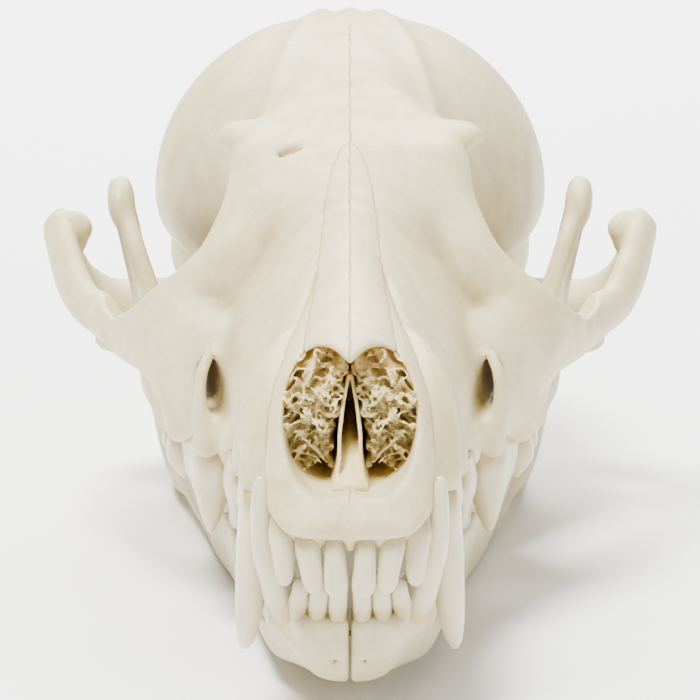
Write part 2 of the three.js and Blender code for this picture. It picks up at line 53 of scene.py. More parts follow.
VIEW_DISTANCE = 520.0
VIEW_ELEVATION = np.radians(15.0)
VIEW_CENTRE_HEIGHT = 21.7
SENSOR = 36.0
FRAME_WIDTH = 75.3  # what the photograph's width takes in at the view's centre

looking = np.array([0.0, np.cos(VIEW_ELEVATION), -np.sin(VIEW_ELEVATION)])
eye = np.array([0.0, 0.0, VIEW_CENTRE_HEIGHT]) - VIEW_DISTANCE * looking
camera = bpy.data.objects.new("camera", bpy.data.cameras.new("camera"))
camera.data.sensor_width = SENSOR
camera.data.lens = SENSOR * VIEW_DISTANCE / FRAME_WIDTH
camera.data.clip_start = 0.05
camera.location = Vector((eye + TO_PART) * MM)
camera.rotation_euler = Vector(looking).to_track_quat("-Z", "Y").to_euler()
bpy.context.scene.collection.objects.link(camera)
bpy.context.scene.camera = camera


def lamp(name, place, aim, size, power):
    """A square soft light at a place, turned towards a point, both in the part's frame in metres."""
    light = bpy.data.lights.new(name, "AREA")
    light.size = size
    light.energy = power
    holder = bpy.data.objects.new(name, light)
    holder.location = place
    holder.rotation_euler = (Vector(aim) - Vector(place)).to_track_quat("-Z", "Y").to_euler()
    bpy.context.scene.collection.objects.link(holder)


lamp("key_light", (-0.2, -0.2, 0.9), (0, -0.02, 0.03), 0.3, 27.0)
lamp("fill_light", (0.55, -0.75, 0.4), (0, -0.02, 0.03), 0.5, 3.0)
lamp("back_light", (0.0, 0.5, 0.45), (0, 0.36, 0), 0.5, 12.0)

world = bpy.data.worlds.new("studio")
bpy.context.scene.world = world
world.use_nodes = True
world.node_tree.nodes["Background"].inputs["Color"].default_value = (1.0, 1.0, 1.0, 1.0)
world.node_tree.nodes["Background"].inputs["Strength"].default_value = 0.36


# The floor
# A plain pale sheet under the skull.
def linear(hex_colour):
    """A colour given as sRGB hex, in Blender's linear values."""
    srgb = np.array([int(hex_colour[i : i + 2], 16) for i in (1, 3, 5)]) / 255
    return (*np.where(srgb <= 0.04045, srgb / 12.92, ((srgb + 0.055) / 1.055) ** 2.4), 1.0)


FLOOR_HALF = 1.5
FLOOR_COLOUR = "#FCFCFB"
floor_mesh = bpy.data.meshes.new("floor")
corners = [(-1, -1), (1, -1), (1, 1), (-1, 1)]
floor_mesh.from_pydata([(x * FLOOR_HALF, y * FLOOR_HALF, 0) for x, y in corners], [], [(0, 1, 2, 3)])
floor = bpy.data.objects.new("floor", floor_mesh)
bpy.context.scene.collection.objects.link(floor)
paper = bpy.data.materials.new("pale_paper")
paper.use_nodes = True
paper.node_tree.nodes["Principled BSDF"].inputs["Base Color"].default_value = linear(FLOOR_COLOUR)
paper.node_tree.nodes["Principled BSDF"].inputs["Roughness"].default_value = 0.9
floor_mesh.materials.append(paper)


# The bone's surface
# Dry bleached bone is ivory, satin, with pores and faint mottling, and painted shade makes it warmer and
# darker in its hollows.
def add(tree, kind, settings=None, **links):
    """A node with its settings, and its inputs given as values or as other nodes' outputs."""
    node = tree.nodes.new(kind)
    for key, value in (settings or {}).items():
        setattr(node, key, value)
    for key, value in links.items():
        socket = node.inputs[int(key[1:])] if key[0] == "i" and key[1:].isdigit() else node.inputs[key]
        if isinstance(value, bpy.types.NodeSocket):
            tree.links.new(value, socket)
        else:
            socket.default_value = value
    return node


def sum_of(tree, operation, *values, clamp=False):
    """A step of arithmetic on numbers or on other nodes' outputs."""
    inputs = {f"i{place}": value for place, value in enumerate(values)}
    return add(tree, "ShaderNodeMath", {"operation": operation, "use_clamp": clamp}, **inputs).outputs[0]


def mixed(tree, share, first, second):
    """One colour turning into another by a share."""
    return add(tree, "ShaderNodeMix", {"data_type": "RGBA"}, Factor=share, i6=first, i7=second).outputs[2]


def per_metre(size_mm):
    """The noise scale whose features have a size in millimetres."""
    return 1 / (size_mm * MM)


def suture(tree, position, line):
    """A thin wavy line over the bone, where the way to the side is what a curve gives for y."""
    parts = add(tree, "ShaderNodeSeparateXYZ", i0=position)
    wave = add(tree, "ShaderNodeTexNoise", i0=position, Scale=per_metre(1.8), Detail=3.0)
    reach = line["swing"] * MM
    swing = sum_of(tree, "MULTIPLY_ADD", wave.outputs[0], 2 * reach, -reach)
    sideways = parts.outputs[0]
    if line["both_sides"]:
        sideways = sum_of(tree, "ABSOLUTE", sideways)
    ends = [(line["course"][i][0] + TO_PART[1]) * MM for i in (0, -1)]
    share = add(tree, "ShaderNodeMapRange", Value=parts.outputs[1], i1=ends[0], i2=ends[1], i3=0.0, i4=1.0)
    shape = add(tree, "ShaderNodeFloatCurve", Value=share.outputs[0])
    points = shape.mapping.curves[0].points
    while len(points) < len(line["course"]):
        points.new(0.5, 0.5)
    first, last = line["course"][0][0], line["course"][-1][0]
    for point, (y, x) in zip(points, line["course"]):
        point.location = ((y - first) / (last - first), x / SUTURE_REACH)
    shape.mapping.update()
    target = sum_of(tree, "MULTIPLY_ADD", shape.outputs[0], SUTURE_REACH * MM, swing)
    gap = sum_of(tree, "ABSOLUTE", sum_of(tree, "SUBTRACT", sideways, target))
    mask = fade(tree, gap, line["half_width"] * MM, 0.0)
    limits = (
        (parts.outputs[1], ends[0], 1 * MM),
        (parts.outputs[1], ends[1], -1 * MM),
        (parts.outputs[2], (line["above"] + TO_PART[2]) * MM, 1 * MM),
    )
    for value, start, run in limits:
        part = fade(tree, value, start, start + run)
        mask = sum_of(tree, "MULTIPLY", mask, part)
    return mask


def fade(tree, value, start, end):
    """0 at one value and 1 at another, with a smooth change between them."""
    lowest, highest = (start, end) if start < end else (end, start)
    outcome = (0.0, 1.0) if start < end else (1.0, 0.0)
    node = add(
        tree,
        "ShaderNodeMapRange",
        {"interpolation_type": "SMOOTHSTEP"},
        Value=value,
        i1=lowest,
        i2=highest,
        i3=outcome[0],
        i4=outcome[1],
    )
    return node.outputs[0]


SUTURE_REACH = 12.0  # the furthest that a suture gets from the middle
SUTURE_DEPTH = 2.5  # by the height of the bone's pores
BONE_COLOUR = "#D6C794"
# The colour of the real streaky stain and of the painted shade in the bone's hollows
BONE_STAIN_AND_HOLLOW_SHADE = "#87703C"
BONE_PALE = "#DED3AC"
SUTURE_COLOUR = "#A08850"
NOSE_COLOUR = "#D2B260"
NOSE_DEEP_SHADE = "#94763A"
JAW_COLOUR = "#C6B88A"


def bone_material(name, colour, sutures):
    """Dry bone with its sutures and painted shade in its hollows, and with the stain of dried skin where the
    nose is marked, darkened further in by painted shade.
    """
    material = bpy.data.materials.new(name)
    material.use_nodes = True
    tree = material.node_tree
    shader = tree.nodes["Principled BSDF"]
    position = add(tree, "ShaderNodeTexCoord").outputs["Object"]
    mottle = add(tree, "ShaderNodeTexNoise", i0=position, Scale=per_metre(14), Detail=4.0, Roughness=0.6)
    streak = add(tree, "ShaderNodeTexNoise", i0=position, Scale=per_metre(3.2), Detail=5.0, Roughness=0.65)
    pore = add(tree, "ShaderNodeTexNoise", i0=position, Scale=per_metre(0.45), Detail=2.0)
    hollow_shade = add(tree, "ShaderNodeAttribute", {"attribute_name": "hollow_shade"})
    paleness = add(tree, "ShaderNodeMapRange", Value=mottle.outputs[0], i1=0.35, i2=0.68, i3=0.0, i4=0.75)
    base = mixed(tree, paleness.outputs[0], linear(colour), linear(BONE_PALE))
    stain = sum_of(tree, "MULTIPLY_ADD", streak.outputs[0], 0.8, -0.3)
    # Painted shade: the hollow mark darkens and warms the bone in its recesses, added to the real streaky
    # stain
    stain_and_shade_share = sum_of(tree, "ADD", hollow_shade.outputs["Fac"], stain, clamp=True)
    stained_and_shaded = mixed(tree, stain_and_shade_share, base, linear(BONE_STAIN_AND_HOLLOW_SHADE))
    height = pore.outputs[0]
    nose = add(tree, "ShaderNodeAttribute", {"attribute_name": "nose"})
    parts = add(tree, "ShaderNodeSeparateXYZ", i0=position)
    # Painted shade: the nose's real golden stain turns darker further back inside the nose
    depth = fade(tree, parts.outputs[1], (9 + TO_PART[1]) * MM, (24 + TO_PART[1]) * MM)
    lining = mixed(tree, depth, linear(NOSE_COLOUR), linear(NOSE_DEEP_SHADE))
    last = mixed(tree, nose.outputs["Fac"], stained_and_shaded, lining)
    for line in sutures:
        mask = suture(tree, position, line)
        strength = sum_of(tree, "MULTIPLY", mask, line["strength"])
        last = mixed(tree, strength, last, linear(SUTURE_COLOUR))
        height = sum_of(tree, "MULTIPLY_ADD", strength, -SUTURE_DEPTH, height)
    tree.links.new(last, shader.inputs["Base Color"])
    grain = sum_of(tree, "MULTIPLY_ADD", streak.outputs[0], 1.6, height)
    bump = add(tree, "ShaderNodeBump", Strength=0.5, Distance=0.12 * MM, Height=grain)
    tree.links.new(bump.outputs[0], shader.inputs["Normal"])
    gloss = add(tree, "ShaderNodeMapRange", Value=streak.outputs[0], i1=0.3, i2=0.7, i3=0.42, i4=0.6)
    tree.links.new(gloss.outputs[0], shader.inputs["Roughness"])
    shader.inputs["IOR"].default_value = 1.5
    shader.inputs["Subsurface Weight"].default_value = 0.08
    shader.inputs["Subsurface Radius"].default_value = (1.0, 0.7, 0.4)
    shader.inputs["Subsurface Scale"].default_value = 1.2 * MM
    return material


# Sutures by their course over the bone, as pairs of y and the distance from the middle
MIDLINE = {
    "course": [(1.5, 0), (98, 0)],
    "above": -3,
    "both_sides": False,
    "swing": 0.3,
    "half_width": 0.2,
    "strength": 0.75,
}
BESIDE_NASALS = {
    "course": [(13.5, 5.3), (22, 4.8), (32, 4.1), (42, 3.6), (52, 2.9), (60, 1.2), (62, 0)],
    "above": 14,
    "both_sides": True,
    "swing": 0.35,
    "half_width": 0.24,
    "strength": 0.5,
}
BEFORE_CHEEK = {
    "course": [(8.5, 9.3), (12, 9.0), (17, 7.9), (24, 6.4), (31, 5.0), (38, 3.9)],
    "above": 3.5,
    "both_sides": True,
    "swing": 0.3,
    "half_width": 0.3,
    "strength": 0.6,
}
skull_bone = bone_material("bleached_bone", BONE_COLOUR, [MIDLINE, BESIDE_NASALS, BEFORE_CHEEK])
jaw_bone = bone_material("bleached_jaw_bone", JAW_COLOUR, [])


# The braincase, forehead and snout
# One bone with all that has grown onto it. Its shape is a field on a grid: each place holds how far
# it is outside the bone, so forms grow into each other smoothly and holes are cut out of them.
class Block:
    """A box of the grid that a shape is worked out in."""

    def __init__(self, low, high, step):
        self.step = step
        self.low = np.array(low, float)
        self.count = np.ceil((np.array(high, float) - self.low) / step).astype(int) + 1
        self.far = np.full(self.count, 20.0, np.float32)

    def part(self, low, high):
        """The slices and coordinates of what lies between two corners."""
        first = np.maximum(np.floor((np.array(low) - self.low) / self.step).astype(int), 0)
        last = np.minimum(np.ceil((np.array(high) - self.low) / self.step).astype(int) + 1, self.count)
        slices = tuple(slice(a, max(a, b)) for a, b in zip(first, last))
        axes = [
            (self.low[i] + self.step * np.arange(s.start, s.stop)).astype(np.float32)
            for i, s in enumerate(slices)
        ]
        return slices, np.ix_(*axes)

    def join(self, form, blend, margin=3.0):
        slices, places = self.part(form.low - margin - blend, form.high + margin + blend)
        if self.far[slices].size:
            self.far[slices] = smooth_least(self.far[slices], form.far(*places), blend)

    def cut(self, form, blend, margin=2.0):
        slices, places = self.part(form.low - margin - blend, form.high + margin + blend)
        if self.far[slices].size:
            self.far[slices] = -smooth_least(-self.far[slices], form.far(*places), blend)


def smooth_least(a, b, blend):
    """The lesser of two fields, with the crease between them rounded over a distance."""
    h = np.clip(0.5 + 0.5 * (b - a) / blend, 0, 1)
    return b + (a - b) * h - blend * h * (1 - h)


def through(rows):
    """A smooth curve through rows of numbers that never swings past them, by each row's first."""
    rows = np.array(rows, float)
    t, v = rows[:, 0], rows[:, 1:]
    gap = np.diff(t)[:, None]
    rise = np.diff(v, axis=0) / gap
    slope = np.zeros_like(v)
    slope[0], slope[-1] = rise[0], rise[-1]
    product = rise[:-1] * rise[1:]
    total = np.where(product > 0, rise[:-1] + rise[1:], 1)
    slope[1:-1] = np.where(product > 0, 2 * product / total, 0)

    def at(y):
        y = np.clip(y, t[0], t[-1])
        i = np.clip(np.searchsorted(t, y, side="right") - 1, 0, len(t) - 2)
        h = gap[i]
        s = ((y - t[i]) / gap[i, 0])[..., None]
        value = v[i] * (1 + 2 * s) * (1 - s) ** 2 + v[i + 1] * s * s * (3 - 2 * s)
        return value + h * s * (1 - s) * (slope[i] * (1 - s) - slope[i + 1] * s)

    return at


class Form:
    """A field with the box that it matters in."""

    def __init__(self, low, high, far):
        self.low, self.high, self.far = np.array(low, float), np.array(high, float), far


def oval(a, b, size_a, size_b, power):
    """How far a place is outside an oval, near enough, where a and b are its place in half sizes."""
    a, b = np.maximum(np.abs(a), 1e-4), np.maximum(np.abs(b), 1e-4)
    g = (a**power + b**power) ** (1 / power)
    tilt = g ** (1 - power) * np.hypot(a ** (power - 1) / size_a, b ** (power - 1) / size_b)
    return (g - 1) / tilt


def body(rows):
    """A body with upright sections: place, top, bottom, half width, widest height, squareness."""
    shape = through(rows)
    table = np.array(rows, float)

    def far(x, y, z):
        top, bottom, half, widest, above, below = (
            column[None, :, None].astype(np.float32) for column in shape(y.ravel()).T
        )
        upper = z > widest
        reach = np.where(upper, top - widest, widest - bottom)
        power = np.where(upper, above, below)
        ends = np.maximum(table[0, 0] - y, y - table[-1, 0])
        return np.maximum(oval(x / half, (z - widest) / reach, half, reach, power), ends)

    wide = table[:, 3].max()
    low = (-wide, table[0, 0], table[:, 2].min())
    return Form(low, (wide, table[-1, 0], table[:, 1].max()), far)


def egg(centre, radii):
    centre, radii = np.array(centre, float), np.array(radii, float)

    def far(x, y, z):
        q = [(p - c) / r for p, c, r in zip((x, y, z), centre, radii)]
        k0 = np.sqrt(q[0] ** 2 + q[1] ** 2 + q[2] ** 2)
        k1 = np.sqrt((q[0] / radii[0]) ** 2 + (q[1] / radii[1]) ** 2 + (q[2] / radii[2]) ** 2)
        return k0 * (k0 - 1) / np.maximum(k1, 1e-4)

    return Form(centre - radii, centre + radii, far)


def bar(rows, pieces=8):
    """A bar with an oval section along a curve: place, half height and half thickness there."""
    rows = np.array(rows, float)
    keys = np.column_stack([np.arange(len(rows)), rows])
    points = through(keys)(np.linspace(0, len(rows) - 1, pieces * (len(rows) - 1) + 1))

    def far(x, y, z):
        least = np.full(np.broadcast_shapes(x.shape, y.shape, z.shape), 1e3, np.float32)
        for start, end in zip(points[:-1], points[1:]):
            span = end[:3] - start[:3]
            length = np.linalg.norm(span)
            along = span / length
            across = np.cross((0, 0, 1) if abs(along[2]) < 0.9 else (0, 1, 0), along)
            across /= np.linalg.norm(across)
            up = np.cross(along, across)
            px, py, pz = x - start[0], y - start[1], z - start[2]
            reach = px * along[0] + py * along[1] + pz * along[2]
            t = np.clip(reach / length, 0, 1)
            tall = start[3] + (end[3] - start[3]) * t
            thick = start[4] + (end[4] - start[4]) * t
            past = (reach - t * length) / np.minimum(tall, thick)
            wide = (px * across[0] + py * across[1] + pz * across[2]) / thick
            high = (px * up[0] + py * up[1] + pz * up[2]) / tall
            k0 = np.sqrt(past**2 + wide**2 + high**2)
            least_size = np.minimum(tall, thick)
            k1 = np.sqrt((past / least_size) ** 2 + (wide / thick) ** 2 + (high / tall) ** 2)
            least = np.minimum(least, k0 * (k0 - 1) / np.maximum(k1, 1e-4))
        return least

    spread = np.max(rows[:, 3:], axis=1)[:, None]
    return Form((rows[:, :3] - spread).min(axis=0), (rows[:, :3] + spread).max(axis=0), far)


def trace(block, course, above, depth, width):
    """A groove, or a ridge where its depth is less than nothing, along a course over the bone."""
    slices, (x, y, z) = block.part(block.low, block.low + 1e3)
    middle = through(course)(y.ravel())[:, 0][None, :, None]
    reach = np.clip((y - course[0][0]) / 2, 0, 1) * np.clip((course[-1][0] - y) / 2, 0, 1)
    reach = reach * np.clip((z - above) / 2, 0, 1)
    block.far += (depth * np.exp(-(((x - middle) / width) ** 2)) * reach).astype(np.float32)


SNOUT = [
    (0.6, 1.8, 0.2, 6.2, 0.8, 2.2, 2.4),
    (2, 3.8, -0.1, 7.7, 1.4, 2.1, 2.6),
    (4, 8.6, -0.2, 8.4, 2.6, 2.0, 2.6),
    (6.5, 14.8, -0.5, 8.7, 4.4, 2.0, 2.6),
    (9, 18.6, -1.1, 9.3, 5.6, 2.0, 2.8),
    (13, 19.8, -1.6, 10.6, 6.0, 1.9, 3),
    (20, 20.9, -1.7, 11.0, 5.0, 1.8, 3),
    (30, 22.2, -2.4, 12.2, 3.2, 1.65, 3),
    (38, 23.4, -3.3, 14.2, 2.0, 1.5, 3.2),
    (45, 24.8, -4.2, 17.2, 1.4, 1.4, 3.4),
    (51, 26.4, -4.7, 19.8, 1.8, 1.4, 3.4),
    (56, 28.2, -5.1, 21.8, 2.0, 1.4, 3.4),
    (61, 29.6, -5.3, 22.2, 1.0, 1.4, 3.2),
    (66, 29.6, -5.5, 20.4, -0.5, 1.4, 3),
    (70.5, 28, -5.2, 14, 0, 1.5, 2.6),
]
BRAINCASE = [
    (50, 24, 6, 6, 17, 2, 2),
    (58, 28.7, 10, 11.5, 24, 2.6, 2),
    (64, 31.2, 12, 13.6, 27.4, 2.8, 1.6),
    (70, 32.6, 10, 14.2, 28.4, 2.7, 1.4),
    (75, 34.2, 8, 12.4, 27, 2.3, 1.6),
    (80, 35.6, 6, 12.6, 23, 2, 1.8),
    (87, 37.1, 4, 16.6, 19, 2, 2),
    (94, 38.0, 2.6, 20.9, 16.6, 2, 2.1),
    (102, 38.2, 1.4, 24.2, 15, 2, 2.2),
    (110, 37.5, 0.4, 25.3, 14, 2, 2.3),
    (118, 35.6, -0.6, 24.4, 13, 2, 2.4),
    (126, 32.4, -1.4, 21.6, 11.6, 2.1, 2.4),
    (133, 28.4, -2.2, 17.8, 9.8, 2.2, 2.3),
    (138.5, 23.0, -2.8, 13.2, 7.6, 2.1, 2.2),
]
BRAINCASE_WALL = 2.0
MIDDLE_WALL = [
    (52, 26, -2, 9, 8, 2.4, 3),
    (66, 29, -2.6, 9.2, 8, 2.4, 2.6),
    (76, 30, 1.2, 8.6, 9, 2.2, 2.2),
    (88, 28, 2.6, 9.4, 9, 2, 2),
    (100, 24, 1.8, 10, 8, 2, 2),
]
CHEEK_ARCH = [
    (16.5, 50.5, 5.0, 8.2, 4.6),
    (22.2, 57.5, 7.6, 5.6, 3.4),
    (27.4, 66, 6.9, 3.9, 2.4),
    (31.9, 75, 6.9, 2.7, 2.0),
    (34.9, 82, 9.6, 3.5, 1.9),
    (36.3, 88.5, 12.5, 3.8, 1.9),
    (36.5, 95, 9.6, 3.4, 1.9),
    (34.8, 100.6, 3.9, 2.8, 2.1),
    (30.0, 104.3, 0.6, 2.6, 3.6),
    (22, 105.8, 0.0, 3.0, 4.6),
    (14, 106.5, 1.5, 3.4, 4.6),
]
EYE_RIM = [
    (10.4, 63.5, 27.4, 2.6, 3.2),
    (12.4, 58.6, 22.6, 2.8, 3.4),
    (15.4, 56.0, 17.6, 3.0, 3.2),
    (20.6, 56.2, 13.0, 3.0, 2.6),
    (25.2, 61.5, 9.4, 2.6, 2.2),
]
BROW_SPUR = [
    (9, 67.5, 28.8, 2.6, 4.8),
    (12.4, 68.8, 30.0, 2.0, 3.8),
    (14.4, 69.8, 30.1, 1.3, 2.3),
    (15.8, 70.4, 29.3, 0.6, 1.0),
]
ARCH_HOOK = [(35.9, 88, 12.8, 3.2, 2.2), (34.3, 87.4, 14.2, 2.2, 1.6), (33.4, 87, 14.2, 1.6, 1.2)]
# How far from the middle the temple's line runs, by its distance along the skull
TEMPLE_LINE = [(70, 15.2), (76, 12.0), (84, 9.8), (94, 7.4), (106, 4.8), (118, 3.2), (130, 2.0)]
CREST = [
    (0, 96, 36.6, 1.2, 0.9),
    (0, 108, 36.8, 1.2, 0.9),
    (0, 120, 34.6, 1.5, 1.0),
    (0, 132, 29.9, 2.0, 1.1),
    (0, 139.6, 26.0, 2.2, 1.3),
    (0, 142.4, 24.0, 1.2, 1.0),
]
NECK_RIDGE = [
    (-1, 140.9, 25.2, 1.6, 1.6),
    (5, 139.2, 25.0, 1.7, 1.5),
    (11.2, 135.4, 21.6, 1.7, 1.6),
    (16.4, 130, 15.2, 2.0, 1.8),
    (19.4, 125, 7.4, 2.4, 2.2),
    (20.0, 122, 1.4, 2.2, 2.2),
]
EAR_SPUR = [(18, 125, 3, 2.6, 2.4), (17, 127.6, -3.4, 1.9, 1.7), (15.8, 128.8, -8.2, 0.8, 0.8)]
CANINE_BULGE = [
    (9.6, 13.8, 3.6, 2.5, 2.8),
    (9.2, 16.0, 8.6, 2.6, 2.8),
    (8.5, 19.4, 12.4, 2.4, 2.6),
    (7.2, 24, 15.0, 1.6, 1.6),
]
INCISOR_BULGE = [(7.0, 5.4, 2.9, 1.6, 1.8), (6.9, 7.0, 6.4, 1.6, 1.8), (6.7, 9.4, 10.0, 1.3, 1.3)]
GULLET_WING = [(8.2, 68, -1.0, 4, 1.6), (8.6, 80, 0.4, 5, 1.4), (8.2, 90, -3.4, 1.6, 0.9)]

BONE_STEP = 0.4
skull = Block((0, -1.5, -13), (41, 147, 41), BONE_STEP)
for form, blend in (
    (body(SNOUT), 1.0),
    (body(BRAINCASE), 3.0),
    (body(MIDDLE_WALL), 2.0),
):
    skull.join(form, blend)
EYE_SOCKET = egg((20.6, 68.6, 16.8), (11.6, 12.6, 12.6))
BELOW_EYE = egg((19.5, 77, 3.5), (8.4, 11, 9.5))
PALATE = egg((0, 36, -4.6), (8.6, 36, 3.4))
GULLET = egg((0, 86, 0.6), (6.6, 18, 4.4))
for form, blend in ((EYE_SOCKET, 1.0), (BELOW_EYE, 2.0), (PALATE, 1.2), (GULLET, 1.5)):
    skull.cut(form, blend)
EAR_DRUM = egg((12.2, 116.5, -2.2), (6.6, 9.4, 6.0))
NECK_KNUCKLE = egg((8.2, 138.6, -1.2), (4.2, 4.4, 4.4))
HINGE_STOP = egg((24.4, 108.6, -2.6), (4.4, 1.8, 3.6))
EAR_ROOT = egg((19.6, 121, 3.6), (4.2, 6.4, 6.2))
SKULL_FLOOR = egg((0, 128, -1.6), (8.4, 13, 2.8))
for form, blend in (
    (bar(EYE_RIM), 3.0),
    (bar(CHEEK_ARCH), 2.4),
    (bar(BROW_SPUR), 0.5),
    (bar(ARCH_HOOK), 0.8),
    (bar(CREST), 1.2),
    (bar(NECK_RIDGE), 2.0),
    (bar(EAR_SPUR), 1.2),
    (bar(CANINE_BULGE), 2.4),
    (bar(INCISOR_BULGE), 2.0),
    (bar(GULLET_WING), 1.2),
    (EAR_DRUM, 1.2),
    (NECK_KNUCKLE, 1.5),
    (HINGE_STOP, 1.5),
    (EAR_ROOT, 2.0),
    (SKULL_FLOOR, 2.0),
):
    skull.join(form, blend)

# Over the roots of the cheek teeth the bone bulges, and the nerve's hole lies between two of them
ROOT_BULGES = [
    [(1.6, 2.0, 1.8, 1.1, 1.0), (1.5, 3.6, 4.0, 0.8, 0.8)],
    [(4.4, 2.4, 2.0, 1.2, 1.1), (4.0, 4.0, 4.4, 0.8, 0.9)],
    [(12.4, 32.6, -1.0, 1.4, 1.3), (12.0, 32.6, 2.0, 1.2, 1.2), (11.4, 32.6, 5.0, 0.8, 0.8)],
    [(13.9, 38.8, -1.4, 1.4, 1.3), (13.6, 38.8, 1.6, 1.2, 1.2), (12.9, 38.6, 5.0, 0.8, 0.8)],
    [
        (16.9, 43.2, -1.6, 1.5, 1.4),
        (17.3, 43.0, 2.6, 1.4, 1.2),
        (17.2, 43.2, 6.6, 1.2, 1.0),
        (16.6, 44.2, 9.6, 0.5, 0.5),
    ],
    [(20.4, 52.4, -2.0, 1.7, 1.6), (20.8, 52.0, 2.4, 1.6, 1.5), (20.6, 52.0, 7.0, 1.4, 1.4)],
    [(22.2, 59.0, -2.6, 1.6, 1.4), (22.4, 58.6, 1.0, 1.4, 1.4), (22.4, 58.6, 5.0, 1.2, 1.2)],
]
for rows in ROOT_BULGES:
    skull.join(bar(rows), 2.0)
BETWEEN_INCISORS = ((0, 2.4, -0.6), (3.3, 2.8, -0.5), (6.2, 4.0, 0.0))
GUM_POINT = (0.7, 1.4, 1.3)  # half sizes of the bone's points between the incisors
for place in BETWEEN_INCISORS:
    skull.join(egg(place, GUM_POINT), 0.4)
skull.cut(EYE_SOCKET, 0.3)  # once more, for the socket's sharp rim

NOSE_HOLES = [egg((2.6, 9, 11.4), (4.7, 16, 7.3)), egg((2.3, 7, 8.6), (4.2, 15, 4.5))]
for form in NOSE_HOLES:
    skull.cut(form, 0.8)
NERVE_HOLE = [(13.9, 33, 4.8, 2.6, 0.9), (15.7, 43, 5.2, 2.9, 1.15), (19.5, 58, 7.6, 2.9, 1.6)]
NECK_HOLE = [(0, 130, 6.4, 5.4, 6.4), (0, 138, 5.4, 5.4, 6.6), (0, 146, 4.6, 5.4, 7)]
HINGE_TROUGH = [(19, 103.6, -4.0, 3.1, 3.1), (34, 103.2, -4.2, 3.1, 3.1)]
BRAIN_ROWS = slice(6, -1)  # the part of the braincase that is hollow
BRAIN_FLOOR = 2
skull.cut(bar(NERVE_HOLE), 0.7)
brain = [
    (y, top - BRAINCASE_WALL, max(bottom, BRAIN_FLOOR) + BRAINCASE_WALL, half - BRAINCASE_WALL, *rest)
    for y, top, bottom, half, *rest in BRAINCASE[BRAIN_ROWS]
]
for form, blend in ((body(brain), 0.8), (bar(NECK_HOLE), 1.2), (bar(HINGE_TROUGH), 1.0)):
    skull.cut(form, blend)

# The temple's line stands up between two shallow hollows, and the seams are sunk
outside_line = [(y, x + 3.4) for y, x in TEMPLE_LINE]
inside_line = [(y, max(x - 3.0, 0)) for y, x in TEMPLE_LINE]
for course, above, depth, width in (
    (TEMPLE_LINE, 24, -0.55, 1.0),
    (outside_line, 24, 0.3, 2.2),
    (inside_line, 24, 0.2, 2.0),
    (BEFORE_CHEEK["course"], 3.5, 0.55, 0.55),
    (BESIDE_NASALS["course"], 14, 0.22, 0.5),
):
    trace(skull, course, above, depth, width)


def softened(field):
    """A field with slivers thinner than a step or so melted away."""
    for axis in range(3):
        padded = np.concatenate([np.take(field, [0], axis), field, np.take(field, [-1], axis)], axis)
        count = field.shape[axis]
        field = sum(
            np.take(padded, range(start, start + count), axis) * weight
            for start, weight in ((0, 0.25), (1, 0.5), (2, 0.25))
        )
    return field


def mirrored(field):
    """Both halves of a field that was worked out on one side."""
    return np.concatenate([field[:0:-1], field])


def surface(field, low, step):
    """The points and four-sided faces of the skin where a field passes through zero."""
    inside = field < 0
    across, along, tall = (size - 1 for size in inside.shape)
    count = sum(
        inside[i : across + i, j : along + j, k : tall + k].astype(np.int8)
        for i in (0, 1)
        for j in (0, 1)
        for k in (0, 1)
    )
    cells = np.argwhere((count > 0) & (count < 8))
    number = np.full(count.shape, -1, np.int64)
    number[tuple(cells.T)] = np.arange(len(cells))
    total = np.zeros((len(cells), 3))
    crossings = np.zeros(len(cells))
    for axis in range(3):
        others = [a for a in range(3) if a != axis]
        for j in (0, 1):
            for k in (0, 1):
                start = np.zeros(3, int)
                start[others[0]], start[others[1]] = j, k
                a = field[tuple((cells + start).T)]
                end = start.copy()
                end[axis] = 1
                b = field[tuple((cells + end).T)]
                crossed = (a < 0) != (b < 0)
                share = np.where(crossed, a / np.where(crossed, a - b, 1), 0)
                place = (cells + start).astype(float)
                place[:, axis] += share
                total += place * crossed[:, None]
                crossings += crossed
    points = total / crossings[:, None] * step + low
    faces = []
    for axis in range(3):
        u, v = (axis + 1) % 3, (axis + 2) % 3
        here = [slice(1, -1)] * 3
        here[axis] = slice(0, -1)
        ahead = list(here)
        ahead[axis] = slice(1, None)
        a, b = inside[tuple(here)], inside[tuple(ahead)]
        edges = np.argwhere(a != b)
        leaves = a[tuple(edges.T)]
        shift = np.ones(3, int)
        shift[axis] = 0
        base = edges + shift
        corner = []
        for du, dv in ((-1, -1), (0, -1), (0, 0), (-1, 0)):
            cell = base.copy()
            cell[:, u] += du
            cell[:, v] += dv
            corner.append(number[tuple(cell.T)])
        quads = np.stack(corner, axis=1)
        quads[~leaves] = quads[~leaves][:, ::-1]
        faces.append(quads)
    return points, np.concatenate(faces)


def relax(points, faces, rounds):
    """The points moved towards their neighbours, which takes the grid's steps out of a skin."""
    a = faces.ravel()
    b = np.roll(faces, 1, axis=1).ravel()
    ends, starts = np.concatenate([a, b]), np.concatenate([b, a])
    degree = np.bincount(ends, minlength=len(points))[:, None]
    for factor in (0.5, -0.52) * rounds:
        mean = np.column_stack(
            [np.bincount(ends, weights=points[starts, i], minlength=len(points)) for i in range(3)]
        )
        points = points + factor * (mean / degree - points)
    return points


